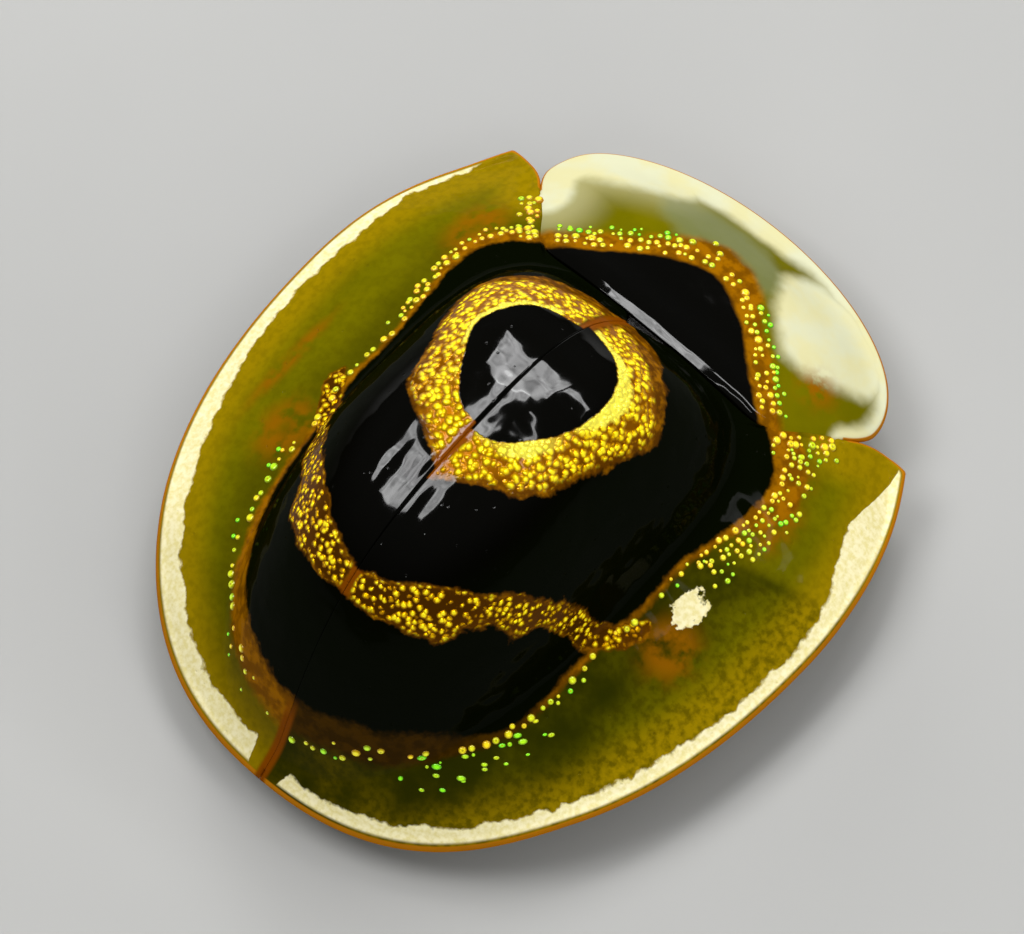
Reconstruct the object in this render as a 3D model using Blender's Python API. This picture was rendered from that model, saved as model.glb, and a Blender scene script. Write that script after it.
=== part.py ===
"""A ring-marked tortoise beetle at rest, as a still, life-size museum model.

The beetle faces -Y, its left side is +X and the floor is z = 0. Places on the back are given by
two shares of one span, which is nearly the body's length: `along`, from 0 at the tip of the wing
cases to a little over 1 at the front of the neck shield, and `out`, the distance from the
midline. The shell pieces are cut from one height field, so that they meet along thin seams, and
the body under them follows its underside.
"""

import math

import bmesh
import bpy
from mathutils import Matrix, Vector

MM = 0.001

# The whole animal
SPAN = 8.6 * MM
SEAM = 0.10 * MM
SUTURE = 0.05 * MM
BODY_GAP = 0.12 * MM
RIM_CLEARANCE = 0.30 * MM
RIM_THICKNESS = 0.20 * MM
DISC_THICKNESS = 0.45 * MM
SHIELD_THICKNESS = 0.36 * MM
RIM_TOP = RIM_CLEARANCE + RIM_THICKNESS

# Outline of the wing cases, as shares of the span
WIDEST_ALONG = 0.58
HALF_WIDTH = 0.437
REAR_ROUNDNESS = 2.25
FRONT_ARC = 0.49
SHOULDER_OUT = 0.347
SHOULDER_PULL = (0.884, 0.302)
NOTCH_OUT = 0.272
RIM_STEPS = 15
SHOULDER_STEPS = 6
BASE_STEPS = 7

# Hind edge of the neck shield, which is also the base of the wing cases
BASE_ALONG = 0.757
BASE_SWEEP = 0.004
BASE_SWEEP_OUT = 0.20
CORNER_SWEEP = 0.085
CORNER_START = 0.165

# Outline of the neck shield
SHIELD_WIDEST = 0.880
SHIELD_HALF_WIDTH = 0.287
SHIELD_ARC = 0.145
SHIELD_CORNER_PULL = (0.862, 0.285)
SHIELD_CORNER_OUT = 0.268
SHIELD_MIDDLE = 0.870

# The middle of the whole length stands over the origin
MIDDLE_ALONG = (SHIELD_WIDEST + SHIELD_ARC) / 2.0

# Little triangle between the wing cases
SCUTELLUM_HALF_WIDTH = 0.036
SCUTELLUM_LENGTH = 0.042

# Height field: a low apron over the whole outline, and the high dome of the wing cases on it
APRON_HEIGHT = 0.183
APRON_POWER = 2.7
APRON_FRONT = 0.42
APRON_FRONT_ROUNDNESS = 2.1
DOME_HEIGHT = 0.262
DOME_ALONG = 0.440
DOME_REAR = 0.399
DOME_FRONT = 0.3115
DOME_HALF_WIDTH = 0.229
DOME_ROUNDNESS_REAR = 2.3
DOME_ROUNDNESS_FRONT = 4.0
DOME_POWER_REAR = 3.8
DOME_POWER_FRONT = 3.0
DOME_POWER_CHANGE = (0.34, 0.54)
DOME_FULLNESS = 0.90
FRONT_LIFT = 0.039
LIFT_START = 0.80
LIFT_END = 0.95
# The rim stands highest at the sides, between its tip and the neck shield
RIM_ARCH = 0.42 * MM
ARCH_REAR = (0.0, 0.22)
ARCH_FRONT = (0.65, 1.05)

# Underside
BELLY_HEIGHT = 1.08 * MM
BREAST_HEIGHT = 0.92 * MM
LEAST_BODY = 0.16 * MM
ABDOMEN_FROM = 0.105
ABDOMEN_TO = 0.498
ABDOMEN_HALF_WIDTH = 0.195
ABDOMEN_TIP_HALF_WIDTH = 0.030
BELLY_RINGS = 5
GROOVE_DEPTH = 0.07 * MM
TRUNK_TO = BASE_ALONG - 0.008
TRUNK_HALF_WIDTH = 0.205
PROTHORAX_TO = 0.842
PROTHORAX_HALF_WIDTH = 0.165

# Head
HEAD_MIDDLE = (0.0, -3.31 * MM, 0.66 * MM)
HEAD_HALF = (0.74 * MM, 0.48 * MM, 0.40 * MM)
EYE_MIDDLE = (0.60 * MM, -3.36 * MM, 0.74 * MM)
EYE_HALF = (0.20 * MM, 0.25 * MM, 0.26 * MM)
FEELER_SEGMENTS = 11
FEELER_LENGTH = 3.5 * MM
FEELER_THICKNESS = 0.42 * MM
FEELER_CLUB = 0.50 * MM

# Legs: hip, knee, ankle and claw of the left legs, in millimetres from the middle of the floor
LEGS = {
    "fore": ((0.50, -2.19, 0.62), (1.52, -2.61, 0.50), (1.16, -1.82, 0.27), (1.98, -1.91, 0.12)),
    "middle": ((0.80, -1.04, 0.76), (2.10, -1.01, 0.66), (1.50, -0.31, 0.27), (2.36, -0.23, 0.12)),
    "hind": ((0.75, 0.31, 0.76), (2.02, 0.77, 0.66), (1.28, 1.51, 0.27), (2.02, 1.95, 0.12)),
}
HIP_TOP = {"fore": BREAST_HEIGHT, "middle": BELLY_HEIGHT, "hind": BELLY_HEIGHT}
KNEE_THICKNESS = 0.36 * MM
PAD_HEIGHT = 0.26 * MM
# Foot pads: share of the way from ankle to claw, length, width and sideways shift
FOOT_PADS = (
    (0.06, 0.46, 0.42, 0.0),
    (0.34, 0.36, 0.46, 0.0),
    (0.63, 0.38, 0.30, 0.105),
    (0.61, 0.37, 0.30, -0.105),
)


def clear_scene():
    """Removes whatever the file opened with."""
    for thing in list(bpy.data.objects):
        bpy.data.objects.remove(thing, do_unlink=True)


def new_collection(name):
    """A collection in the scene."""
    made = bpy.data.collections.new(name)
    bpy.context.scene.collection.children.link(made)
    return made


def finish_material(name, colour, roughness, metallic=0.0):
    """A Principled material of one colour."""
    made = bpy.data.materials.new(name)
    made.use_nodes = True
    shader = made.node_tree.nodes["Principled BSDF"]
    shader.inputs["Base Color"].default_value = (*colour, 1.0)
    shader.inputs["Roughness"].default_value = roughness
    shader.inputs["Metallic"].default_value = metallic
    return made


def smoothstep(low, high, value):
    """0 below low, 1 above high, and a smooth rise between."""
    t = min(1.0, max(0.0, (value - low) / (high - low)))
    return t * t * (3.0 - 2.0 * t)


def signed_power(value, power):
    """The power of a number's size, with its sign kept."""
    return math.copysign(abs(value) ** power, value)


def curve_between(first, pull, last, share):
    """A point on the arc from first to last that leans towards pull."""
    rest = 1.0 - share
    return tuple(
        rest * rest * a + 2.0 * rest * share * p + share * share * c
        for a, p, c in zip(first, pull, last)
    )


def reach(along, out, middle, rear, front, half_width, rear_power, front_power):
    """How far a place is from a middle towards an egg-shaped outline, 1 on the outline."""
    ahead = along - middle
    size, power = (rear, rear_power) if ahead < 0.0 else (front, front_power)
    total = abs(ahead / size) ** power + abs(out / half_width) ** power
    return total ** (1.0 / power)


def rim_reach(along, out):
    """1 on the outer outline of the whole shell."""
    return reach(along, out, WIDEST_ALONG, WIDEST_ALONG, APRON_FRONT, HALF_WIDTH,
                 REAR_ROUNDNESS, APRON_FRONT_ROUNDNESS)


def dome_reach(along, out):
    """1 at the foot of the dome."""
    return reach(along, out, DOME_ALONG, DOME_REAR, DOME_FRONT, DOME_HALF_WIDTH,
                 DOME_ROUNDNESS_REAR, DOME_ROUNDNESS_FRONT)


def shell_top(along, out):
    """Height of the shell's outer face above the floor."""
    rim = min(1.0, rim_reach(along, out))
    foot = min(1.0, dome_reach(along, out))
    apron = APRON_HEIGHT * (1.0 - rim**APRON_POWER)
    front_share = smoothstep(*DOME_POWER_CHANGE, along)
    power = DOME_POWER_REAR + (DOME_POWER_FRONT - DOME_POWER_REAR) * front_share
    dome = DOME_HEIGHT * (1.0 - foot**power) ** DOME_FULLNESS
    lift = FRONT_LIFT * smoothstep(LIFT_START, LIFT_END, along)
    arch = smoothstep(*ARCH_REAR, along) * (1.0 - smoothstep(*ARCH_FRONT, along))
    return RIM_TOP + SPAN * (apron + dome + lift) + RIM_ARCH * arch * rim**4


def below_shell(along, out, depth):
    """Height of the face that lies depth inside the shell's outer face, measured square to it."""
    lowest = shell_top(along, out) - depth
    for ring in (0.35, 0.65, 0.88, 0.99):
        drop = depth * math.sqrt(1.0 - ring * ring)
        for turn in range(12):
            angle = math.tau * turn / 12
            reach_out = depth * ring / SPAN
            near = shell_top(along + reach_out * math.cos(angle), out + reach_out * math.sin(angle))
            lowest = min(lowest, near - drop)
    return lowest


def wall_at(along, out, full):
    """Thickness of the shell, thin at the rim and full from the foot of the dome inwards."""
    return RIM_THICKNESS + (full - RIM_THICKNESS) * (1.0 - smoothstep(0.62, 1.0, rim_reach(along, out)))


def place(along, out, height):
    """A place on the animal as a point in the scene."""
    return Vector((out * SPAN, (MIDDLE_ALONG - along) * SPAN, height))


def base_line(out):
    """Where the neck shield's hind edge meets the wing cases, at this distance from the midline."""
    out = abs(out)
    corner = max(0.0, (out - CORNER_START) / (NOTCH_OUT - CORNER_START))
    return BASE_ALONG + BASE_SWEEP * (out / BASE_SWEEP_OUT) ** 2 + CORNER_SWEEP * corner * corner


def node_object(name, mesh, look, parts):
    """One named object of the model, shaded smooth with its sharp edges kept."""
    made = bpy.data.objects.new(name, mesh)
    parts.objects.link(made)
    mesh.materials.clear()
    mesh.materials.append(look)
    mesh.shade_smooth()
    mesh.set_sharp_from_angle(angle=math.radians(38))
    return made


def mapped_solid(columns, rows, where, top, bottom):
    """A closed solid whose plan is a grid bent by where(u, v), between two heights.

    Points of the grid that fall together, such as those at a centre or a closing edge, become one.
    """
    shape = bmesh.new()
    bmesh.ops.create_grid(shape, x_segments=columns, y_segments=rows, size=0.5)
    for vertex in shape.verts:
        along, out = where(vertex.co.x + 0.5, vertex.co.y + 0.5)
        vertex.co = Vector((along, out, 0.0))
    bmesh.ops.remove_doubles(shape, verts=shape.verts, dist=1e-6)
    upper = list(shape.verts)
    grown = bmesh.ops.extrude_face_region(shape, geom=list(shape.faces))
    lower = [item for item in grown["geom"] if isinstance(item, bmesh.types.BMVert)]
    for vertices, height in ((upper, top), (lower, bottom)):
        for vertex in vertices:
            along, out = vertex.co.x, vertex.co.y
            vertex.co = place(along, out, height(along, out))
    bmesh.ops.triangulate(shape, faces=[f for f in shape.faces if len(f.verts) > 4])
    bmesh.ops.recalc_face_normals(shape, faces=shape.faces)
    mesh = bpy.data.meshes.new("solid")
    shape.to_mesh(mesh)
    shape.free()
    return mesh


def share_of(path, share):
    """The point at this share of a list of points, by number."""
    position = share * (len(path) - 1)
    index = min(int(position), len(path) - 2)
    rest = position - index
    return tuple(a + (b - a) * rest for a, b in zip(path[index], path[index + 1]))


def wing_case_outline():
    """Edge of one wing case, from the tip round the rim and the shoulder to the scutellum's tip."""
    edge = []
    for step in range(RIM_STEPS + 1):
        angle = math.radians(90.0) * step / RIM_STEPS
        power = 2.0 / REAR_ROUNDNESS
        along = WIDEST_ALONG * (1.0 - signed_power(math.cos(angle), power))
        edge.append((along, HALF_WIDTH * signed_power(math.sin(angle), power)))
    shoulder_angle = math.acos(SHOULDER_OUT / HALF_WIDTH)
    for step in range(1, SHOULDER_STEPS + 1):
        angle = shoulder_angle * step / SHOULDER_STEPS
        edge.append((WIDEST_ALONG + FRONT_ARC * math.sin(angle), HALF_WIDTH * math.cos(angle)))
    shoulder = edge[-1]
    notch = (base_line(NOTCH_OUT) - 0.5 * SEAM / SPAN, NOTCH_OUT)
    for step in range(1, 6):
        edge.append(curve_between(shoulder, SHOULDER_PULL, notch, step / 5.0))
    corner = SCUTELLUM_HALF_WIDTH + SEAM / SPAN
    for step in range(1, BASE_STEPS + 1):
        out = NOTCH_OUT + (corner - NOTCH_OUT) * step / BASE_STEPS
        edge.append((base_line(out) - 0.5 * SEAM / SPAN, out))
    tip = (BASE_ALONG - SCUTELLUM_LENGTH - 1.2 * SEAM / SPAN, 0.0)
    edge.append(((edge[-1][0] + tip[0]) / 2.0, corner / 2.0))
    edge.append(tip)
    half_suture = 0.5 * SUTURE / SPAN
    return [(along, max(out, half_suture)) for along, out in edge]


def wing_case(side):
    """One wing case: a thin shell whose grid runs from the suture out to the rim."""
    edge = wing_case_outline()
    half_suture = 0.5 * SUTURE / SPAN
    spine_from, spine_to = 0.16, 0.66
    inner_rings, outer_rings = 7, 4
    foot_share = inner_rings / (inner_rings + outer_rings)

    def foot_along_ray(start, end):
        """Share of the ray at which it crosses the foot of the dome."""
        low, high = 0.0, 1.0
        for _ in range(24):
            middle = (low + high) / 2.0
            here = tuple(a + (b - a) * middle for a, b in zip(start, end))
            low, high = (middle, high) if dome_reach(*here) < 1.0 else (low, middle)
        return min(0.9, low)

    def where(u, v):
        end = share_of(edge, v)
        start = (spine_from + (spine_to - spine_from) * v, half_suture)
        foot = foot_along_ray(start, end)
        if u < foot_share:
            share = foot * (u / foot_share) ** 0.8
        else:
            share = foot + (1.0 - foot) * (u - foot_share) / (1.0 - foot_share)
        along, out = (a + (b - a) * share for a, b in zip(start, end))
        return along, side * out

    return mapped_solid(
        inner_rings + outer_rings,
        len(edge) - 1,
        where,
        shell_top,
        lambda along, out: below_shell(along, out, wall_at(along, out, DISC_THICKNESS)),
    )


def shield_outline():
    """Edge of the neck shield, once round, starting at the middle of its front."""
    half = []
    for step in range(13):
        angle = math.radians(90.0) * step / 12.0
        half.append((SHIELD_WIDEST + SHIELD_ARC * math.cos(angle), SHIELD_HALF_WIDTH * math.sin(angle)))
    half_seam = 0.5 * SEAM / SPAN
    corner = (base_line(SHIELD_CORNER_OUT) + half_seam, SHIELD_CORNER_OUT)
    for step in range(1, 5):
        half.append(curve_between(half[12], SHIELD_CORNER_PULL, corner, step / 4.0))
    for step in range(1, 9):
        out = SHIELD_CORNER_OUT * (1.0 - step / 8.0)
        half.append((base_line(out) + half_seam, out))
    return half + [(along, -out) for along, out in reversed(half[:-1])]


def neck_shield():
    """The pronotum: a broad shell over the head, with a grid round its middle."""
    edge = shield_outline()

    def where(u, v):
        end = share_of(edge, v)
        return SHIELD_MIDDLE + (end[0] - SHIELD_MIDDLE) * u, end[1] * u

    return mapped_solid(
        5,
        len(edge) - 1,
        where,
        shell_top,
        lambda along, out: below_shell(along, out, wall_at(along, out, SHIELD_THICKNESS)),
    )


def scutellum():
    """The small triangle where the wing cases and the neck shield meet."""
    half_seam = 0.5 * SEAM / SPAN
    front = BASE_ALONG - half_seam

    def where(u, v):
        half_width = SCUTELLUM_HALF_WIDTH * (1.0 - v) + 0.004 * v
        return front - SCUTELLUM_LENGTH * v, half_width * (2.0 * u - 1.0)

    return mapped_solid(
        4, 4, where, shell_top, lambda along, out: below_shell(along, out, DISC_THICKNESS)
    )


def under_solid(columns, rows, from_along, to_along, half_width_at, belly, roof_wall):
    """A body piece between the underside of the shell and its own underside."""
    span = to_along - from_along

    def where(u, v):
        along = from_along + span * v
        return along, half_width_at(along) * (2.0 * u - 1.0)

    def roof(along, out):
        return below_shell(along, out, roof_wall + BODY_GAP)

    def floor(along, out):
        return min(belly(along, out), roof(along, out) - LEAST_BODY)

    return mapped_solid(columns, rows, where, roof, floor)


def abdomen():
    """The belly, narrowing to the rear, with a groove between its rings."""
    rows_in_ring = 4

    def half_width_at(along):
        back = (ABDOMEN_TO - along) / (ABDOMEN_TO - ABDOMEN_FROM)
        tip = ABDOMEN_TIP_HALF_WIDTH
        return tip + (ABDOMEN_HALF_WIDTH - tip) * max(0.0, 1.0 - back**2.6) ** 0.55

    def belly(along, out):
        share = (along - ABDOMEN_FROM) / (ABDOMEN_TO - ABDOMEN_FROM)
        row = share * BELLY_RINGS * rows_in_ring
        from_groove = abs(row - rows_in_ring * round(row / rows_in_ring))
        groove = GROOVE_DEPTH if row > 0.5 and from_groove < 0.1 else 0.0
        swell = 0.10 * MM * (1.0 - (out / ABDOMEN_HALF_WIDTH) ** 2)
        return BELLY_HEIGHT - swell + groove

    return under_solid(8, BELLY_RINGS * rows_in_ring, ABDOMEN_FROM, ABDOMEN_TO, half_width_at,
                       belly, DISC_THICKNESS)


def trunk():
    """The middle and hind breast, which carry the wing cases and two pairs of legs."""
    gap = BODY_GAP / SPAN

    def half_width_at(along):
        front = smoothstep(0.66, TRUNK_TO + 0.02, along)
        return TRUNK_HALF_WIDTH - 0.045 * front

    return under_solid(8, 8, ABDOMEN_TO + gap, TRUNK_TO, half_width_at,
                       lambda along, out: BELLY_HEIGHT, DISC_THICKNESS)


def prothorax():
    """The breast plate under the neck shield, which carries the head and the fore legs."""
    gap = BODY_GAP / SPAN

    def half_width_at(along):
        return PROTHORAX_HALF_WIDTH - 0.030 * smoothstep(TRUNK_TO, PROTHORAX_TO, along)

    return under_solid(10, 5, TRUNK_TO + gap, PROTHORAX_TO, half_width_at,
                       lambda along, out: BREAST_HEIGHT, DISC_THICKNESS)


def piece_from(shape):
    """An object made of a bmesh, with its faces pointing out."""
    bmesh.ops.recalc_face_normals(shape, faces=shape.faces)
    mesh = bpy.data.meshes.new("piece")
    shape.to_mesh(mesh)
    shape.free()
    made = bpy.data.objects.new("piece", mesh)
    bpy.context.scene.collection.objects.link(made)
    return made


def ball(middle, half, segments=14, rings=9):
    """An ellipsoid."""
    shape = bmesh.new()
    bmesh.ops.create_uvsphere(shape, u_segments=segments, v_segments=rings, radius=1.0)
    bmesh.ops.transform(
        shape, matrix=Matrix.Translation(middle) @ Matrix.Diagonal((*half, 1.0)), verts=shape.verts
    )
    return piece_from(shape)


def pad(middle, heading, length, width, height, sides=10):
    """A foot pad: an oval that stands flat on the floor and narrows upwards."""
    shape = bmesh.new()
    bmesh.ops.create_cone(
        shape, cap_ends=True, segments=sides, radius1=0.5, radius2=0.38, depth=height
    )
    matrix = (
        Matrix.Translation((middle[0], middle[1], height / 2.0))
        @ Matrix.Rotation(heading, 4, "Z")
        @ Matrix.Diagonal((length, width, 1.0, 1.0))
    )
    bmesh.ops.transform(shape, matrix=matrix, verts=shape.verts)
    return piece_from(shape)


def tube(points, radii, sides_level=1):
    """A round limb through the points, as thick at each as its radius says."""
    data = bpy.data.curves.new("limb", "CURVE")
    data.dimensions = "3D"
    data.bevel_depth = 1.0
    data.bevel_resolution = sides_level
    data.use_fill_caps = True
    spline = data.splines.new("POLY")
    spline.points.add(len(points) - 1)
    for point, where, radius in zip(spline.points, points, radii):
        point.co = (*where, 1.0)
        point.radius = radius
    guide = bpy.data.objects.new("limb", data)
    bpy.context.scene.collection.objects.link(guide)
    bpy.context.view_layer.update()
    graph = bpy.context.evaluated_depsgraph_get()
    mesh = bpy.data.meshes.new_from_object(guide.evaluated_get(graph))
    bpy.data.objects.remove(guide, do_unlink=True)
    shape = bmesh.new()
    shape.from_mesh(mesh)
    bmesh.ops.remove_doubles(shape, verts=shape.verts, dist=1e-7)
    return piece_from(shape)


def keep_largest(mesh):
    """Drops every closed surface but the largest."""
    shape = bmesh.new()
    shape.from_mesh(mesh)
    shape.verts.ensure_lookup_table()
    seen = set()
    groups = []
    for first in shape.verts:
        if first in seen:
            continue
        group, edge_of_group = {first}, [first]
        while edge_of_group:
            vertex = edge_of_group.pop()
            for edge in vertex.link_edges:
                other = edge.other_vert(vertex)
                if other not in group:
                    group.add(other)
                    edge_of_group.append(other)
        seen |= group
        groups.append(group)
    largest = max(groups, key=len)
    loose = [vertex for vertex in shape.verts if vertex not in largest]
    bmesh.ops.delete(shape, geom=loose, context="VERTS")
    shape.to_mesh(mesh)
    shape.free()


def combine(pieces, operation="UNION"):
    """The first piece with the others joined to it or cut from it, as one mesh."""
    first, others = pieces[0], pieces[1:]
    group = bpy.data.collections.new("operands")
    for other in others:
        group.objects.link(other)
    boolean = first.modifiers.new("combine", "BOOLEAN")
    boolean.operation = operation
    boolean.operand_type = "COLLECTION"
    boolean.collection = group
    boolean.solver = "EXACT"
    bpy.context.view_layer.update()
    graph = bpy.context.evaluated_depsgraph_get()
    mesh = bpy.data.meshes.new_from_object(first.evaluated_get(graph))
    for piece in pieces:
        bpy.data.objects.remove(piece, do_unlink=True)
    bpy.data.collections.remove(group)
    keep_largest(mesh)
    return mesh


def mirrored(point, side):
    """A point of the left side, or its twin on the right for side -1."""
    return Vector((side * point[0], point[1], point[2]))


def between(first, last, share):
    """The point at a share of the way from first to last."""
    return Vector(first).lerp(Vector(last), share)


def leg(kind, side):
    """One leg: hip, thigh, shin, three foot pads, the last of them split, and a pair of claws."""
    hip, knee, ankle, claw = (mirrored(p, side) * MM for p in LEGS[kind])
    top = HIP_TOP[kind] - BODY_GAP
    pieces = [
        tube(
            [(hip.x, hip.y, top), (hip.x, hip.y, top - 0.06 * MM), (hip.x, hip.y, hip.z - 0.20 * MM)],
            [0.30 * MM, 0.31 * MM, 0.20 * MM],
        )
    ]
    for first, last, widths in (
        (hip, knee, ((0.0, 0.34), (0.18, 0.43), (0.45, 0.50), (0.75, 0.44), (1.0, 0.36))),
        (knee, ankle, ((-0.02, 0.30), (0.3, 0.36), (0.75, 0.46), (1.0, 0.40))),
    ):
        line = [between(first, last, share) for share, _ in widths]
        pieces.append(tube(line, [width * MM / 2.0 for _, width in widths]))
    pieces.append(ball(knee, (KNEE_THICKNESS / 2.0,) * 3, 7, 5))
    foot = claw - ankle
    heading = math.atan2(foot.y, foot.x)
    ahead = Vector((math.cos(heading), math.sin(heading), 0.0))
    across = Vector((-math.sin(heading), math.cos(heading), 0.0))
    for share, length, width, spread in FOOT_PADS:
        middle = between(ankle, claw, share) + across * spread * MM
        pieces.append(pad(middle, heading, length * MM, width * MM, PAD_HEIGHT))
    root = between(ankle, claw, 0.55)
    root.z = 0.17 * MM
    pieces.append(tube([root, between(root, claw, 0.6), claw], [0.09 * MM, 0.11 * MM, 0.10 * MM]))
    for hook in (-1, 1):
        inside = claw - ahead * 0.09 * MM + across * hook * 0.013 * MM
        bend = claw + ahead * 0.07 * MM + across * hook * 0.10 * MM + Vector((0, 0, 0.011 * MM))
        tip = claw + ahead * 0.15 * MM + across * hook * 0.13 * MM
        tip.z = 0.045 * MM
        pieces.append(tube([inside, bend, tip], [0.058 * MM, 0.052 * MM, 0.022 * MM]))
    return combine(pieces)


def feeler_path(side):
    """Line of one feeler: out of the front of the head, then back under the shell's edge."""
    guide = [
        (0.20, -3.91, 0.70), (0.62, -3.91, 0.64), (1.15, -3.75, 0.57), (1.68, -3.39, 0.49),
        (2.03, -2.91, 0.41), (2.23, -2.39, 0.42), (2.36, -1.84, 0.45), (2.40, -1.39, 0.48),
    ]
    return [mirrored(p, side) * MM for p in guide]


def walk(path, distance):
    """The point at a distance along a line of points."""
    for first, last in zip(path, path[1:]):
        step = (last - first).length
        if distance <= step:
            return first.lerp(last, distance / step)
        distance -= step
    return path[-1]


def smooth_line(path, rounds=2):
    """The line with its corners rounded off."""
    for _ in range(rounds):
        rounded = [path[0]]
        for first, last in zip(path, path[1:]):
            rounded += [first.lerp(last, 0.25), first.lerp(last, 0.75)]
        path = rounded + [path[-1]]
    return path


def feeler(side):
    """One antenna of eleven joints, each narrow at its root, thicker towards the tip."""
    path = smooth_line(feeler_path(side))
    points, radii = [], []
    step = FEELER_LENGTH / FEELER_SEGMENTS
    for joint in range(FEELER_SEGMENTS):
        share = joint / (FEELER_SEGMENTS - 1)
        width = FEELER_THICKNESS + (FEELER_CLUB - FEELER_THICKNESS) * smoothstep(0.4, 0.8, share)
        last = joint == FEELER_SEGMENTS - 1
        for within, size in ((0.04, 0.74), (0.40, 1.0), (0.90, 0.55 if last else 0.92)):
            points.append(walk(path, (joint + within) * step))
            radii.append(width * size / 2.0)
    points.append(walk(path, FEELER_LENGTH))
    radii.append(0.05 * MM)
    return tube(points, radii)


def single_mesh(piece):
    """The mesh of a lone piece, with its object removed."""
    mesh = piece.data
    bpy.data.objects.remove(piece, do_unlink=True)
    return mesh


def cutter_box(low, high):
    """A box between two corners."""
    shape = bmesh.new()
    bmesh.ops.create_cube(shape, size=1.0)
    size = Vector(high) - Vector(low)
    middle = (Vector(high) + Vector(low)) / 2.0
    bmesh.ops.transform(
        shape, matrix=Matrix.Translation(middle) @ Matrix.Diagonal((*size, 1.0)), verts=shape.verts
    )
    return piece_from(shape)


def eye(side):
    """One compound eye, bulging from the side of the head."""
    return ball(mirrored(EYE_MIDDLE, side), EYE_HALF, 12, 8)


def head():
    """The head: face, mouth shield and jaws, with a flat nape and a socket round each eye."""
    skull = ball(HEAD_MIDDLE, HEAD_HALF, 16, 10)
    pieces = [skull]
    pieces.append(ball((0.0, -3.59 * MM, 0.46 * MM), (0.34 * MM, 0.24 * MM, 0.26 * MM), 10, 7))
    for side in (-1, 1):
        jaw = [(0.26, -3.47, 0.36), (0.22, -3.63, 0.24), (0.06, -3.71, 0.20)]
        pieces.append(tube([mirrored(p, side) * MM for p in jaw], [0.12 * MM, 0.10 * MM, 0.05 * MM]))
        palp = [(0.36, -3.39, 0.36), (0.42, -3.55, 0.22), (0.36, -3.67, 0.15)]
        pieces.append(tube([mirrored(p, side) * MM for p in palp], [0.08 * MM, 0.08 * MM, 0.05 * MM]))
    whole = bpy.data.objects.new("piece", combine(pieces))
    bpy.context.scene.collection.objects.link(whole)
    nape = place(PROTHORAX_TO, 0.0, 0.0).y - BODY_GAP
    cutters = [cutter_box((-MM, nape, 0.0), (MM, nape + MM, 2.0 * MM))]
    for side in (-1, 1):
        socket = tuple(size + SEAM for size in EYE_HALF)
        cutters.append(ball(mirrored(EYE_MIDDLE, side), socket, 12, 8))
        root = smooth_line(feeler_path(side))[0]
        cutters.append(ball(root, (0.30 * MM,) * 3, 9, 7))
    return combine([whole, *cutters], "DIFFERENCE")


def main():
    """Builds every part of the beetle."""
    clear_scene()
    parts = new_collection("tortoise_beetle")
    black_shell = finish_material("black_shell", (0.020, 0.017, 0.010), 0.15)
    amber_shell = finish_material("amber_shell", (0.42, 0.36, 0.03), 0.25)
    body_skin = finish_material("body_skin", (0.060, 0.035, 0.012), 0.40)
    limb_skin = finish_material("limb_skin", (0.52, 0.33, 0.07), 0.35)
    eye_skin = finish_material("eye_skin", (0.012, 0.010, 0.008), 0.12)

    node_object("pronotum", neck_shield(), amber_shell, parts)
    node_object("scutellum", scutellum(), black_shell, parts)
    node_object("prothorax", prothorax(), body_skin, parts)
    node_object("thorax", trunk(), body_skin, parts)
    node_object("abdomen", abdomen(), body_skin, parts)
    node_object("head", head(), limb_skin, parts)
    for side, word in ((1, "left"), (-1, "right")):
        node_object(f"elytron_{word}", wing_case(side), black_shell, parts)
        node_object(f"eye_{word}", single_mesh(eye(side)), eye_skin, parts)
        node_object(f"antenna_{word}", single_mesh(feeler(side)), limb_skin, parts)
        for kind in LEGS:
            node_object(f"leg_{kind}_{word}", leg(kind, side), limb_skin, parts)


main()
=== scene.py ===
"""The dressed model of a ring-marked tortoise beetle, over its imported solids.

The beetle faces -Y, its left side is +X and the floor is z = 0. A place on its back is given by
`along`, the share of the body length from the tip of the wing cases to the front of the neck
shield, and `out`, the distance from the midline as a share of the same length.
"""

from __future__ import annotations

import logging
import math
import random
from dataclasses import dataclass, field
from enum import Enum
from functools import reduce
from typing import Callable, Sequence

import bmesh
import bpy
import numpy as np
from bpy.types import Material, Mesh, Object
from bpy.types import NodeSocket as Socket
from mathutils import Matrix, Vector


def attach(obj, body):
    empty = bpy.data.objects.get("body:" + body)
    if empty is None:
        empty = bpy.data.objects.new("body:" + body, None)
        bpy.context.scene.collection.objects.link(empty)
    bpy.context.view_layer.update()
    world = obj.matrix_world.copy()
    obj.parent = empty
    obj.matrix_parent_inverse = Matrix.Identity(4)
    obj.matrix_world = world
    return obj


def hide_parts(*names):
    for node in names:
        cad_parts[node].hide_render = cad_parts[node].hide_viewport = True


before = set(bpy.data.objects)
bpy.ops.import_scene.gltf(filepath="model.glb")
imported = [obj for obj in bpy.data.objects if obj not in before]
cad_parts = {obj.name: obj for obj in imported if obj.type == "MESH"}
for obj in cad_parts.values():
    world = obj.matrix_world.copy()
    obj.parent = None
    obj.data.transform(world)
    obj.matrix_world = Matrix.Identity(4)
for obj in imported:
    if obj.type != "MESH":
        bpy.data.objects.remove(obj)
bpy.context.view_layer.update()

MM = 0.001
SCALE = 8.6  # millimetres in one body length
GAP = 0.006 / SCALE  # half a seam between the plates, in body lengths
BASE = 0.757  # where the neck shield meets the wing cases on the midline
ROOT = "root"
Pair = tuple[float, float]
Field = np.ndarray
Colour = tuple[float, float, float]
Number = Socket | float
Value = Socket | float | Sequence[float]
Shape = bmesh.types.BMesh
Mapping = Callable[[Field, Field], tuple[Field, Field]]
Height = Callable[[Field, Field], Field]
LOG = logging.getLogger("beetle")


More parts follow.
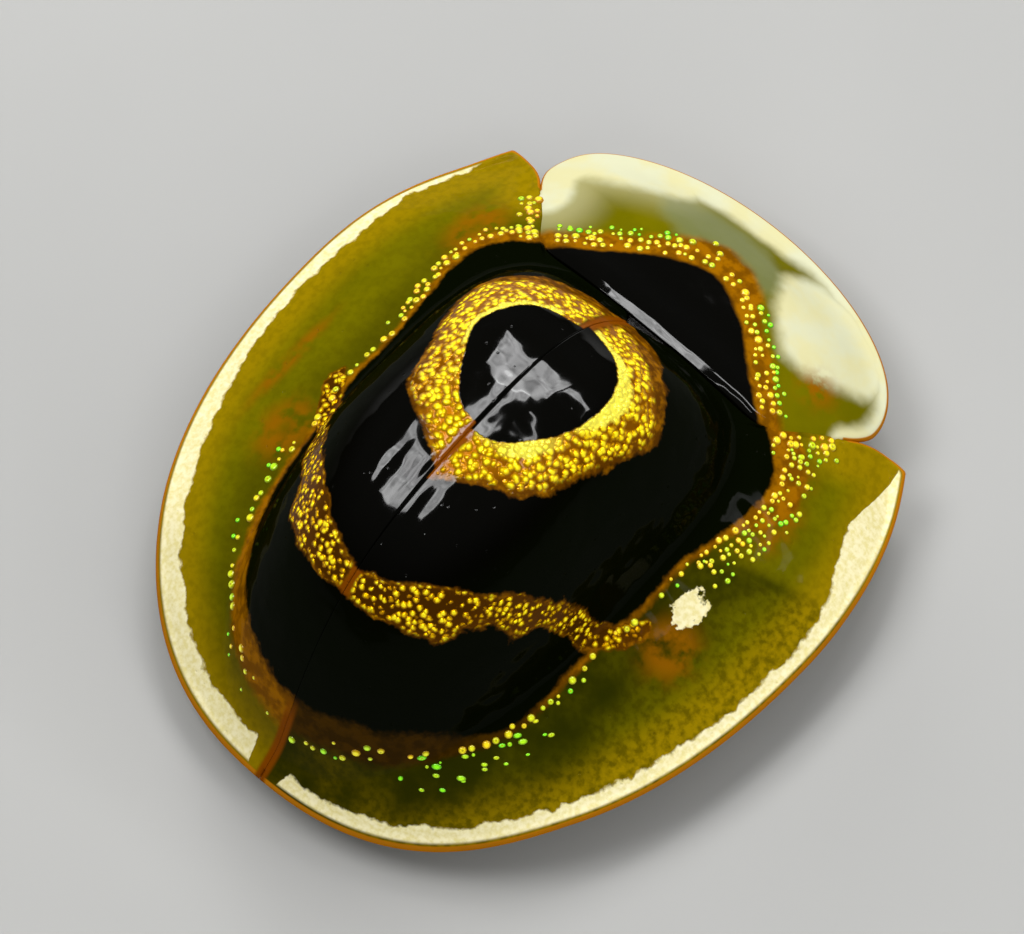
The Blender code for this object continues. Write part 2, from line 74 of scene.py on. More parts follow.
class Side(Enum):
    """A side of the beetle, with the sign of its X."""

    LEFT = 1
    RIGHT = -1

    @property
    def word(self) -> str:
        """The side's name, as it ends a node's name."""
        return self.name.lower()


def smoothstep(low: float, high: float, value: Field | float) -> Field:
    """0 below low, 1 above high, and a smooth rise between, or a fall where high is less."""
    t = np.clip((np.asarray(value, float) - low) / (high - low), 0.0, 1.0)
    return t * t * (3.0 - 2.0 * t)


def hump(value: Field | float, middle: float, width: float, power: float = 2.0) -> Field:
    """1 at the middle, with a smooth fall to 0 on both sides, past the width."""
    return np.exp(-(np.abs((value - middle) / width) ** power))


def closed_line(points: Sequence[Pair]) -> Field:
    """A closed line through points, with each corner cut twice.

    Args:
        points: (along, out) corners in body lengths, once round.

    Returns:
        An array of corners in millimetres.
    """
    line = np.asarray(points, float) * SCALE
    for _ in range(2):
        after = np.roll(line, -1, axis=0)
        line = np.stack([0.75 * line + 0.25 * after, 0.25 * line + 0.75 * after], 1).reshape(-1, 2)
    return line


def mirrored_line(points: Sequence[Pair]) -> Field:
    """A closed line made of half an outline and its twin across the midline."""
    half = list(points)
    return closed_line(half + [(along, -out) for along, out in reversed(half)])


def distance_inside(places: Field, line: Field) -> Field:
    """Distance of each place from a closed line.

    Args:
        places: (along, out) in millimetres.
        line: the line's corners, in millimetres.

    Returns:
        Distances in millimetres, positive inside the line.
    """
    x, y = places[:, 0], places[:, 1]
    nearest = np.full(len(places), 1e9)
    inside = np.zeros(len(places), bool)
    for (ax, ay), (bx, by) in zip(line, np.roll(line, -1, axis=0)):
        dx, dy = bx - ax, by - ay
        share = np.clip(((x - ax) * dx + (y - ay) * dy) / max(dx * dx + dy * dy, 1e-12), 0.0, 1.0)
        nearest = np.minimum(nearest, (x - ax - share * dx) ** 2 + (y - ay - share * dy) ** 2)
        if dy:
            inside ^= ((ay > y) != (by > y)) & (x < ax + dx * (y - ay) / dy)
    return np.sqrt(nearest) * np.where(inside, 1.0, -1.0)


def plan_mm(along: Field, out: Field) -> Field:
    """Places in plan, in millimetres."""
    return np.stack([along, out], 1) * SCALE


def distance_from(places: Field, line: Field) -> Field:
    """Distance of each place from an open line, in millimetres."""
    return np.abs(distance_inside(places, np.concatenate([line, line[::-1]])))


@dataclass(frozen=True)
class ShellForm:
    """The height field that every shell plate is cut from, as in the part's source."""

    LENGTH = SCALE * MM
    MIDDLE = 0.5125

    rim_top: float = 0.50 * MM
    rim_arch: float = 0.42 * MM
    widest: float = 0.58
    half_width: float = 0.437
    apron_height: float = 0.183
    apron_power: float = 2.7
    dome_height: float = 0.262
    dome_along: float = 0.440
    dome_rear: float = 0.399
    dome_front: float = 0.3115
    dome_half_width: float = 0.229
    dome_fullness: float = 0.90
    foot_blend: float = 0.10
    front_lift: float = 0.039

    @staticmethod
    def reach(along: Field, out: Field, middle: float, sizes: Pair, width: float, powers: Pair) -> Field:
        """How far a place is from a middle towards an egg-shaped outline, 1 on the outline.

        Args:
            along: shares of the body length.
            out: distances from the midline, as shares of it.
            middle: the outline's widest place.
            sizes: its reach behind and ahead of the middle.
            width: its half width.
            powers: its roundness behind and ahead.

        Returns:
            One number for each place.
        """
        ahead = np.asarray(along, float) - middle
        size = np.where(ahead < 0.0, *sizes)
        power = np.where(ahead < 0.0, *powers)
        return (np.abs(ahead / size) ** power + np.abs(np.asarray(out) / width) ** power) ** (1.0 / power)

    def rim_reach(self, along: Field, out: Field) -> Field:
        """1 on the outer outline of the whole shell."""
        return self.reach(along, out, self.widest, (self.widest, 0.42), self.half_width, (2.25, 2.1))

    def dome_reach(self, along: Field, out: Field) -> Field:
        """1 at the foot of the dome."""
        sizes = (self.dome_rear, self.dome_front)
        return self.reach(along, out, self.dome_along, sizes, self.dome_half_width, (2.3, 4.0))

    def top(self, along: Field, out: Field) -> Field:
        """Height of the shell's outer face above the floor.

        Args:
            along: shares of the body length.
            out: distances from the midline, as shares of it.

        Returns:
            Heights in metres.
        """
        inside = 1.0 - self.rim_reach(along, out)
        soft = 0.05 * smoothstep(0.82, 0.96, along)
        rim = 1.0 - (inside + np.sqrt(inside * inside + soft * soft)) / 2.0
        power = 3.8 - 0.8 * smoothstep(0.34, 0.54, along)
        rise = 1.0 - self.dome_reach(along, out) ** power
        rise = (rise + np.sqrt(rise * rise + self.foot_blend**2)) / 2.0
        dome = self.dome_height * rise**self.dome_fullness
        apron = self.apron_height * (1.0 - rim**self.apron_power)
        lift = self.front_lift * smoothstep(0.80, 0.95, along)
        arch = smoothstep(0.0, 0.22, along) * smoothstep(1.05, 0.65, along)
        return self.rim_top + self.LENGTH * (apron + dome + lift) + self.rim_arch * arch * rim**4

    def under(self, along: Field, out: Field, depth: Field | float) -> Field:
        """Height of the face that lies inside the outer face.

        Args:
            along: shares of the body length.
            out: distances from the midline, as shares of it.
            depth: how far inside, measured square to the outer face, in metres.

        Returns:
            Heights in metres.
        """
        lowest = self.top(along, out) - depth
        for ring in (0.35, 0.65, 0.88, 0.99):
            shift = depth * ring / self.LENGTH
            for angle in np.linspace(0.0, math.tau, 12, endpoint=False):
                near = self.top(along + shift * math.cos(angle), out + shift * math.sin(angle))
                lowest = np.minimum(lowest, near - depth * math.sqrt(1.0 - ring * ring))
        return lowest

    def point(self, along: float, out: float, lift: float = 0.0) -> Vector:
        """A place on the outer face as a point of the scene."""
        height = float(self.top(np.array(along), np.array(out))) + lift
        return Vector((out * self.LENGTH, (self.MIDDLE - along) * self.LENGTH, height))

    def normal(self, along: float, out: float) -> Vector:
        """The outer face's direction at a place.

        Args:
            along: share of the body length.
            out: distance from the midline, as a share of it.

        Returns:
            A vector of length 1.
        """
        step = 0.004
        ahead = self.point(along + step, out) - self.point(along - step, out)
        aside = self.point(along, out + step) - self.point(along, out - step)
        return aside.cross(-ahead).normalized()

    def level_share(self, along: Field, out: Field) -> Field:
        """How level the outer face is.

        Args:
            along: shares of the body length.
            out: distances from the midline, as shares of it.

        Returns:
            1 where it is flat and 0 where it is upright.
        """
        step = 0.003
        ahead = self.top(along + step, out) - self.top(along - step, out)
        aside = self.top(along, out + step) - self.top(along, out - step)
        return 1.0 / np.sqrt(1.0 + (ahead**2 + aside**2) / (2.0 * step * self.LENGTH) ** 2)


FORM = ShellForm()


def base_line(out: Field | float) -> Field:
    """Where the neck shield's hind edge meets the wing cases.

    Args:
        out: distances from the midline, as shares of it.

    Returns:
        Shares of the body length.
    """
    out = np.abs(np.asarray(out, float))
    corner = np.maximum(0.0, (out - 0.165) / 0.107)
    return BASE + 0.004 * (out / 0.20) ** 2 + 0.085 * corner * corner


def shield_crown(along: Field | float, out: Field | float) -> Field:
    """How far the neck shield swells above the shell's height field, in metres."""
    return 0.09 * MM * hump(np.asarray(along), 0.785, 0.045) * smoothstep(0.24, 0.14, np.abs(out))


def arc(first: Pair, pull: Pair, last: Pair, count: int) -> list[Pair]:
    """Points on an arc.

    Args:
        first: where it starts.
        pull: the place it leans towards.
        last: where it ends.
        count: how many points there are.

    Returns:
        The points, without the first.
    """
    share = np.linspace(0.0, 1.0, count + 1)[1:, None]
    rest = 1.0 - share
    weights = np.hstack([rest * rest, 2.0 * rest * share, share * share])
    return [tuple(point) for point in weights @ np.array([first, pull, last])]


def evenly(points: Sequence[Pair], count: int) -> Field:
    """A line's points at even steps along it.

    Args:
        points: the line's corners.
        count: how many steps there are.

    Returns:
        count + 1 points.
    """
    line = np.asarray(points, float)
    steps = np.concatenate([[0.0], np.cumsum(np.linalg.norm(np.diff(line, axis=0), axis=1))])
    wanted = np.linspace(0.0, steps[-1], count + 1)
    return np.stack([np.interp(wanted, steps, line[:, i]) for i in (0, 1)], 1)


def placed(name: str, data: bpy.types.ID) -> Object:
    """Adds an object to the scene.

    Args:
        name: the object's name.
        data: the mesh, light or camera that it shows.

    Returns:
        The object.
    """
    made = bpy.data.objects.new(name, data)
    bpy.context.scene.collection.objects.link(made)
    return made


def new_piece(name: str, mesh: Mesh, finish: Material, slot: str, *nodes: str) -> Object:
    """Makes a finished object of a mesh, on the root body.

    Args:
        name: the piece's name.
        mesh: its mesh, in place.
        finish: its material.
        slot: the record's material slot that it stands for; not used.
        nodes: the CAD nodes that it replaces.

    Returns:
        The object.
    """
    made = placed(name, mesh)
    mesh.materials.clear()
    mesh.materials.append(finish)
    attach(made, ROOT)
    if nodes:
        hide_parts(*nodes)
    LOG.info("%s: %d faces", name, len(mesh.polygons))
    return made


def mesh_of(shape: Shape, name: str, sharp: float = 50.0) -> Mesh:
    """A finished mesh, with its faces pointing out and shaded smooth.

    Args:
        shape: the bmesh, which is freed.
        name: the mesh's name.
        sharp: the angle from which an edge stays sharp, in degrees.

    Returns:
        The mesh.
    """
    bmesh.ops.recalc_face_normals(shape, faces=shape.faces)
    mesh = bpy.data.meshes.new(name)
    shape.to_mesh(mesh)
    shape.free()
    mesh.shade_smooth()
    mesh.set_sharp_from_angle(angle=math.radians(sharp))
    return mesh


def coordinates(mesh: Mesh) -> Field:
    """A mesh's points as an array.

    Args:
        mesh: the mesh.

    Returns:
        A row of X, Y and Z for each point.
    """
    flat = np.empty(len(mesh.vertices) * 3)
    mesh.vertices.foreach_get("co", flat)
    return flat.reshape(-1, 3)


def store(mesh: Mesh, **layers: Field) -> None:
    """Keeps numbers for each point of a mesh.

    Args:
        mesh: the mesh.
        layers: the numbers, under the names that its material reads.
    """
    for name, values in layers.items():
        made = mesh.attributes.new(name, "FLOAT", "POINT")
        made.data.foreach_set("value", np.asarray(values, np.float32))


def reshaped(shape: Shape, move: Callable[[Field], Field]) -> Shape:
    """A shape with all its points moved at once.

    Args:
        shape: the bmesh, which is freed.
        move: gives the new coordinates from the old ones.

    Returns:
        A new bmesh.
    """
    mesh = bpy.data.meshes.new("draft")
    shape.to_mesh(mesh)
    shape.free()
    mesh.vertices.foreach_set("co", move(coordinates(mesh)).ravel())
    made = bmesh.new()
    made.from_mesh(mesh)
    bpy.data.meshes.remove(mesh)
    return made


def sheet(name: str, columns: int, rows: int, where: Mapping, top: Height, bottom: Height) -> Mesh:
    """A closed plate whose plan is a grid bent by where(u, v), between two heights.

    Args:
        name: the mesh's name.
        columns: faces along u.
        rows: faces along v.
        where: gives (along, out) for grid places between 0 and 1.
        top: height of the upper face at (along, out).
        bottom: height of the lower face.

    Returns:
        The mesh, with its points in the scene's frame.
    """

    def flat(points: Field) -> Field:
        """The grid bent to the plate's plan."""
        along, out = where(points[:, 0] + 0.5, points[:, 1] + 0.5)
        return np.stack([along, out, np.zeros_like(along)], 1)

    def raised(points: Field) -> Field:
        """The plan lifted to its two heights, in the scene's frame.

        Args:
            points: the plan's points, with Z below -0.5 for the lower face.

        Returns:
            The plate's points.
        """
        along, out, low = points[:, 0], points[:, 1], points[:, 2] < -0.5
        height = np.where(low, bottom(along, out), top(along, out))
        return np.stack([out * FORM.LENGTH, (FORM.MIDDLE - along) * FORM.LENGTH, height], 1)

    grid = bmesh.new()
    bmesh.ops.create_grid(grid, x_segments=columns, y_segments=rows, size=0.5)
    shape = reshaped(grid, flat)
    bmesh.ops.remove_doubles(shape, verts=shape.verts, dist=1e-6)
    grown = bmesh.ops.extrude_face_region(shape, geom=list(shape.faces))
    lower = [item for item in grown["geom"] if isinstance(item, bmesh.types.BMVert)]
    bmesh.ops.translate(shape, verts=lower, vec=(0.0, 0.0, -1.0))
    return mesh_of(reshaped(shape, raised), name)


def plan_of(mesh: Mesh) -> tuple[Field, Field, Field]:
    """Where the points of a mesh lie on the back.

    Args:
        mesh: the mesh, in the scene's frame.

    Returns:
        Each point's along, its out and its plan in millimetres.
    """
    points = coordinates(mesh)
    along = FORM.MIDDLE - points[:, 1] / FORM.LENGTH
    out = points[:, 0] / FORM.LENGTH
    return along, out, plan_mm(along, out)


def edge_roll(distance: Field, radius: Field | float) -> Field:
    """How far a rounded edge of this radius drops at a distance from the edge, both in mm."""
    rest = np.clip(radius - np.maximum(distance, 0.0), 0.0, radius)
    return radius - np.sqrt(np.maximum(radius * radius - rest * rest, 0.0))


class Paint:
    """A node-based material in the making, with short names for the nodes it needs."""

    def __init__(self, name: str) -> None:
        """Starts a Principled material.

        Args:
            name: the material's name.
        """
        self.material = bpy.data.materials.new(name)
        self.material.use_nodes = True
        self.tree = self.material.node_tree
        self.shader = self.tree.nodes["Principled BSDF"]

    def feed(self, target: Socket, value: Value) -> None:
        """Links or sets one input of a node.

        Args:
            target: the input.
            value: a socket to link, or a number or a colour to set.
        """
        if isinstance(value, Socket):
            self.tree.links.new(value, target)
        elif isinstance(value, (int, float)):
            target.default_value = value
        else:
            target.default_value = list(value) + [1.0] * (len(target.default_value) - len(value))

    def node(self, kind: str, inputs: dict[str | int, Value], **settings: object) -> bpy.types.Node:
        """Adds a node.

        Args:
            kind: its type.
            inputs: what its inputs are fed, by their names or numbers.
            settings: its options.

        Returns:
            The node.
        """
        made = self.tree.nodes.new(kind)
        for key, value in settings.items():
            setattr(made, key, value)
        for key, value in inputs.items():
            self.feed(made.inputs[key], value)
        return made

    def stored(self, name: str) -> Socket:
        """The number that the mesh keeps for each point under this name."""
        return self.node("ShaderNodeAttribute", {}, attribute_name=name).outputs["Fac"]

    def place(self, squash: Sequence[float] = (1.0, 1.0, 1.0)) -> Socket:
        """Object coordinates, stretched on each axis."""
        where = self.node("ShaderNodeTexCoord", {}).outputs["Object"]
        return self.node("ShaderNodeMapping", {"Vector": where, "Scale": squash}).outputs["Vector"]

    def noise(self, size_mm: float, detail: float = 3.0, squash: Sequence[float] = (1.0, 1.0, 1.0)) -> Socket:
        """Cloudy noise, between about 0.3 and 0.7, with patches of this size."""
        inputs = {"Vector": self.place(squash), "Scale": 1.0 / (size_mm * MM), "Detail": detail}
        return self.node("ShaderNodeTexNoise", inputs).outputs["Fac"]

    def clouds(self, size_mm: float, low: float, high: float, detail: float = 3.0) -> Socket:
        """Noise with more contrast: 0 below low and 1 above high."""
        return self.step(self.noise(size_mm, detail), low, high)

    def cells(self, size_mm: float, bend_mm: float = 0.0) -> bpy.types.Node:
        """Random cells.

        Args:
            size_mm: their size.
            bend_mm: how far noise bends their borders.

        Returns:
            The node, with the distance from each cell's middle and a random colour.
        """
        where, scale = self.place(), 1.0 / (size_mm * MM)
        if bend_mm:
            wave = self.node("ShaderNodeTexNoise", {"Vector": where, "Scale": 0.8 * scale}).outputs["Color"]
            inputs = {0: wave, 1: (2.0 * bend_mm * MM,) * 3, 2: where}
            where = self.node("ShaderNodeVectorMath", inputs, operation="MULTIPLY_ADD").outputs["Vector"]
        return self.node("ShaderNodeTexVoronoi", {"Vector": where, "Scale": scale}, feature="F1")

    def step(self, value: Number, low: Number, high: Number) -> Socket:
        """0 below low, 1 above high, and a smooth rise between, or a fall where high is less."""
        inputs = {"Value": value, "From Min": low, "From Max": high}
        return self.node("ShaderNodeMapRange", inputs, interpolation_type="SMOOTHSTEP").outputs["Result"]

    def math(self, operation: str, *values: Number) -> Socket:
        """One math node."""
        return self.node("ShaderNodeMath", dict(enumerate(values)), operation=operation).outputs[0]

    def times(self, *values: Number) -> Socket:
        """The product of two or more numbers."""
        return reduce(lambda first, second: self.math("MULTIPLY", first, second), values)

    def most(self, first: Number, second: Number) -> Socket:
        """The larger of two numbers."""
        return self.math("MAXIMUM", first, second)

    def shifted(self, value: Socket, wave: Socket, size: float) -> Socket:
        """A distance with a wave added to it, size from trough to crest."""
        return self.math("ADD", value, self.times(self.math("SUBTRACT", wave, 0.5), size))

    def mix(self, share: Number, first: Value, second: Value) -> Socket:
        """A blend of two colours."""
        return self.node("ShaderNodeMix", {0: share, 6: first, 7: second}, data_type="RGBA").outputs[2]

    def level(self, share: Number, first: Number, second: Number) -> Socket:
        """A blend of two numbers."""
        return self.node("ShaderNodeMix", {0: share, 2: first, 3: second}, data_type="FLOAT").outputs[0]

    def relief(
        self, height: Socket, depth_mm: float, under: Socket | None = None, strength: float = 1.0
    ) -> Socket:
        """A bump.

        Args:
            height: where it is high, between 0 and 1.
            depth_mm: its depth.
            under: another bump that it lies over.
            strength: its share of the full bump.

        Returns:
            The bent normal.
        """
        inputs = {"Strength": strength, "Distance": depth_mm * MM, "Height": height}
        if under is not None:
            inputs["Normal"] = under
        return self.node("ShaderNodeBump", inputs).outputs["Normal"]

    def finish(self, **values: Value) -> Material:
        """Sets the shader's inputs.

        Args:
            values: what they are fed, with underscores for the spaces in their names.

        Returns:
            The material.
        """
        for key, value in values.items():
            self.feed(self.shader.inputs[key.replace("_", " ")], value)
        return self.material


@dataclass(frozen=True)
class Markings:
    """The lines that part the colours of the wing cases and the neck shield, in body lengths."""

    disc: tuple[Pair, ...] = (
        (0.071, 0.0), (0.078, 0.05), (0.096, 0.092), (0.111, 0.119), (0.140, 0.148), (0.185, 0.182),
        (0.223, 0.203), (0.260, 0.217), (0.290, 0.224), (0.325, 0.229), (0.365, 0.235), (0.43, 0.244),
        (0.465, 0.248), (0.536, 0.243), (0.578, 0.250), (0.626, 0.257), (0.670, 0.261), (0.712, 0.256),
        (0.745, 0.232), (0.765, 0.200), (0.80, 0.150), (0.80, 0.0),
    )
    ring: tuple[Pair, ...] = (
        (0.331, 0.0), (0.337, 0.018), (0.355, 0.045), (0.374, 0.078), (0.386, 0.104), (0.412, 0.127),
        (0.450, 0.132), (0.480, 0.140), (0.520, 0.151), (0.560, 0.161), (0.592, 0.164), (0.627, 0.146),
        (0.660, 0.117), (0.682, 0.086), (0.702, 0.055), (0.716, 0.0),
    )
    hole: tuple[Pair, ...] = (
        (0.412, 0.0), (0.414, 0.026), (0.424, 0.046), (0.440, 0.060), (0.460, 0.075), (0.484, 0.090),
        (0.512, 0.099), (0.545, 0.102), (0.577, 0.099), (0.603, 0.085), (0.622, 0.064), (0.634, 0.034),
        (0.640, 0.0),
    )
    band: tuple[Pair, ...] = (
        (0.164, 0.0), (0.168, 0.053), (0.181, 0.090), (0.200, 0.125), (0.217, 0.138), (0.240, 0.147),
        (0.265, 0.162), (0.286, 0.183), (0.309, 0.191), (0.349, 0.208), (0.370, 0.235), (0.405, 0.264),
        (0.440, 0.280), (0.470, 0.270), (0.450, 0.256), (0.417, 0.232), (0.379, 0.205), (0.349, 0.190),
        (0.312, 0.163), (0.283, 0.142), (0.256, 0.112), (0.232, 0.082), (0.212, 0.052), (0.200, 0.021),
        (0.197, 0.0),
    )
    shield_disc: tuple[Pair, ...] = (
        (0.890, 0.0), (0.887, 0.022), (0.874, 0.050), (0.846, 0.093), (0.808, 0.135), (0.780, 0.170),
        (0.762, 0.196), (0.720, 0.205), (0.720, 0.0),
    )
    shield_amber: tuple[Pair, ...] = (
        (0.938, 0.0), (0.936, 0.030), (0.918, 0.060), (0.892, 0.084), (0.866, 0.112), (0.834, 0.156),
        (0.790, 0.203), (0.768, 0.230), (0.720, 0.240), (0.720, 0.0),
    )
    window: tuple[Pair, ...] = (
        (0.945, 0.150), (0.972, 0.110), (0.984, 0.040), (0.976, -0.030), (0.948, -0.070), (0.915, -0.072),
        (0.905, -0.010), (0.905, 0.040), (0.912, 0.110),
    )
    cream_right: tuple[Pair, ...] = (
        (0.975, -0.050), (1.010, -0.100), (0.990, -0.200), (0.955, -0.252), (0.914, -0.256), (0.894, -0.226),
        (0.874, -0.188), (0.864, -0.156), (0.880, -0.120), (0.908, -0.088), (0.944, -0.068),
    )
    cream_left: tuple[Pair, ...] = (
        (0.890, 0.300), (0.940, 0.270), (0.985, 0.185), (1.000, 0.110), (0.962, 0.118), (0.930, 0.175),
        (0.900, 0.236), (0.884, 0.270),
    )


MARKS = Markings()


@dataclass(frozen=True)
class ShellColours:
    """The colours of the shell, in linear light."""

    black: Colour = (0.0012, 0.0011, 0.0005)
    deep_green: Colour = (0.0018, 0.0028, 0.0004)
    gold_melt_glare: Colour = (1.0, 0.88, 0.075)
    gold_highlight: Colour = (1.0, 0.84, 0.016)
    gold: Colour = (1.0, 0.66, 0.003)
    gold_deep: Colour = (0.74, 0.33, 0.001)
    gold_gap: Colour = (0.34, 0.115, 0.0005)
    sienna: Colour = (0.11, 0.036, 0.0004)
    amber: Colour = (0.33, 0.125, 0.0006)
    amber_dark: Colour = (0.18, 0.065, 0.0005)
    rust: Colour = (0.22, 0.055, 0.0006)
    shade_brown: Colour = (0.010, 0.007, 0.0004)
    olive: Colour = (0.160, 0.140, 0.0004)
    olive_pale: Colour = (0.130, 0.117, 0.0004)
    olive_shaded: Colour = (0.020, 0.022, 0.0004)
    ochre: Colour = (0.30, 0.20, 0.001)
    umber: Colour = (0.065, 0.052, 0.0004)
    stain: Colour = (0.28, 0.100, 0.0008)
    cream: Colour = (0.98, 0.90, 0.56)
    cream_dark: Colour = (0.85, 0.75, 0.33)
    cream_white: Colour = (0.68, 0.68, 0.46)
    cream_soft: Colour = (0.70, 0.66, 0.36)
    edge_brown: Colour = (0.50, 0.18, 0.004)
    glass: Colour = (0.25, 0.27, 0.085)


COLOURS = ShellColours()


def gold_beads(paint: Paint, size_mm: float, packed: Number) -> tuple[Socket, Socket]:
    """Gold droplets of uneven size under clear skin, each paler in its middle as a painted highlight.

    Args:
        paint: the material.
        size_mm: distance between droplets.
        packed: 1 where they fill the ground and 0 where brown ground shows between them.

    Returns:
        Their colour, and their height between 0 and 1.
    """
    cells = paint.cells(size_mm, 0.35 * size_mm)
    chance = cells.outputs["Color"]
    reach = paint.level(packed, paint.level(paint.step(chance, 0.20, 0.55), 0.44, 0.60), 0.74)
    away = paint.math("DIVIDE", cells.outputs["Distance"], reach)
    height = paint.step(away, 1.0, 0.25)
    ground = paint.mix(packed, COLOURS.sienna, COLOURS.gold_gap)
    colour = paint.mix(paint.step(away, 1.05, 0.75), ground, COLOURS.gold_deep)
    colour = paint.mix(paint.step(away, 0.85, 0.50), colour, COLOURS.gold)
    # The pale middle of each droplet is a painted highlight.
    return paint.mix(paint.step(away, 0.60, 0.30), colour, COLOURS.gold_highlight), height


@dataclass(frozen=True)
class WingCaseFinish:
    """Black disc with a gold ring and band, amber edges and a clear olive margin with a cream rim."""

    bead_mm: float = 0.080
    wave_mm: float = 0.16

    def material(self) -> Material:
        """Builds the material from the distances that WingCase keeps on its mesh.

        Returns:
            The material.
        """
        paint = Paint("wing_case_finish")
        wave = paint.noise(0.28, 3.0)
        fine = paint.noise(0.07, 2.0)
        along = paint.stored("along")
        ring = paint.shifted(paint.shifted(paint.stored("ring"), wave, self.wave_mm), fine, 0.03)
        hole = paint.shifted(paint.stored("hole"), fine, 0.04)
        band = paint.shifted(paint.shifted(paint.stored("band"), wave, self.wave_mm), fine, 0.03)
        disc = paint.shifted(paint.shifted(paint.stored("disc"), wave, 0.10), fine, 0.03)
        seam = paint.shifted(paint.stored("seam"), wave, 0.10)
        in_ring = paint.times(paint.step(ring, -0.02, 0.02), paint.step(hole, 0.015, -0.015))
        in_band = paint.step(band, -0.02, 0.02)
        marked = paint.most(in_ring, in_band)

        front = paint.step(along, 0.56, 0.68)
        shore = paint.level(front, 0.02, 0.17)
        ring_gold = paint.times(in_ring, paint.step(ring, shore, paint.math("ADD", shore, 0.07)))
        band_gold = paint.times(in_band, paint.step(band, 0.0, 0.05))
        lane = paint.step(seam, paint.level(front, 0.04, 0.08), paint.level(front, 0.10, 0.16))
        gilt = paint.times(paint.most(ring_gold, band_gold), lane)
        packed = paint.times(in_ring, paint.step(ring, -0.05, 0.22))
        bead, height = gold_beads(paint, self.bead_mm, packed)
        # Bright gold beside the ring's hole: partly the droplets running together, partly a painted
        # reflection that widens into patches.
        far = paint.level(paint.stored("melt"), -0.085, -0.22)
        bank = paint.shifted(paint.stored("hole"), paint.noise(0.09, 2.0), 0.16)
        melt = paint.step(bank, far, paint.math("ADD", far, 0.05))
        either = paint.most(paint.stored("melt"), paint.clouds(0.7, 0.44, 0.52))
        melt = paint.times(melt, either, in_ring)
        bead = paint.mix(melt, bead, COLOURS.gold_melt_glare)

        margin = self.margin_colour(paint, disc, along)
        inner = paint.step(disc, -0.01, 0.05)
        amber_width = paint.stored("amber_width")
        # Painted shade: on the right side the amber outside the disc darkens towards the rear.
        brown = paint.mix(paint.stored("shade"), self.amber(paint), COLOURS.shade_brown)
        skirt = paint.mix(paint.step(disc, amber_width, paint.math("ADD", amber_width, 0.08)), margin, brown)
        dark = paint.mix(paint.step(paint.stored("level"), 0.75, 0.45), COLOURS.black, COLOURS.deep_green)
        ground = paint.mix(inner, skirt, dark)
        shore_brown = paint.mix(paint.clouds(0.12, 0.42, 0.72), COLOURS.sienna, COLOURS.amber)
        ground = paint.mix(marked, ground, paint.mix(paint.step(seam, 0.03, 0.10), COLOURS.rust, shore_brown))
        tip = paint.times(paint.step(paint.stored("seam"), 0.10, 0.04), paint.step(along, 0.075, 0.055))
        ground = paint.mix(tip, ground, COLOURS.rust)
        colour = paint.mix(gilt, ground, bead)
        # Painted light: the gold glows through its emission, most in the droplets' middles and the bright
        # patches, though it is no lamp.
        lit = paint.most(melt, paint.step(height, 0.2, 0.9))
        glow = paint.mix(paint.times(gilt, lit), (0.0, 0.0, 0.0), bead)

        gloss = paint.times(paint.step(paint.stored("level"), 0.66, 0.92), 0.9)
        gloss = paint.math("MULTIPLY_ADD", paint.times(inner, gloss), 0.95, 0.05)
        normal = paint.relief(paint.noise(0.75, 2.0), 0.050)
        dimple = paint.step(paint.cells(0.21).outputs["Distance"], 0.04, 0.10)
        normal = paint.relief(dimple, 0.005, normal)
        combed = paint.times(paint.noise(0.32, 1.0, (1.0, 0.10, 0.10)), paint.stored("combed"))
        normal = paint.relief(combed, 0.050, normal)
        normal = paint.relief(paint.times(height, gilt), 0.042, normal)
        paint.material.cycles.emission_sampling = "NONE"
        return paint.finish(
            Base_Color=colour,
            Metallic=paint.times(gilt, 0.45),
            Emission_Color=glow,
            Emission_Strength=0.42,
            Roughness=paint.level(gilt, 0.30, 0.24),
            Normal=normal,
            Specular_IOR_Level=0.0,
            Coat_Weight=paint.times(gloss, paint.level(gilt, 1.0, 0.45)),
            Coat_Roughness=0.06,
            Coat_Normal=normal,
        )

    @staticmethod
    def amber(paint: Paint) -> Socket:
        """Amber with darker and brighter clouds."""
        return paint.mix(paint.clouds(0.16, 0.38, 0.62), COLOURS.amber_dark, COLOURS.amber)

    @staticmethod
    def margin_colour(paint: Paint, disc: Socket, along: Socket) -> Socket:
        """Olive that darkens towards the disc as painted shade, with ochre stains, a cream rim and a thin red
        edge.

        Args:
            paint: the material.
            disc: distance inside the black disc, in millimetres.
            along: share of the body length.

        Returns:
            The colour.
        """
        cloud = paint.clouds(0.8, 0.35, 0.65, 4.0)
        grain = paint.clouds(0.09, 0.35, 0.70)
        olive = paint.mix(cloud, COLOURS.olive_pale, COLOURS.olive)
        rim = paint.stored("rim")
        olive = paint.mix(paint.step(rim, 0.75, 0.30), olive, COLOURS.ochre)
        murk = paint.stored("murk")
        olive = paint.mix(paint.times(grain, murk), olive, COLOURS.umber)
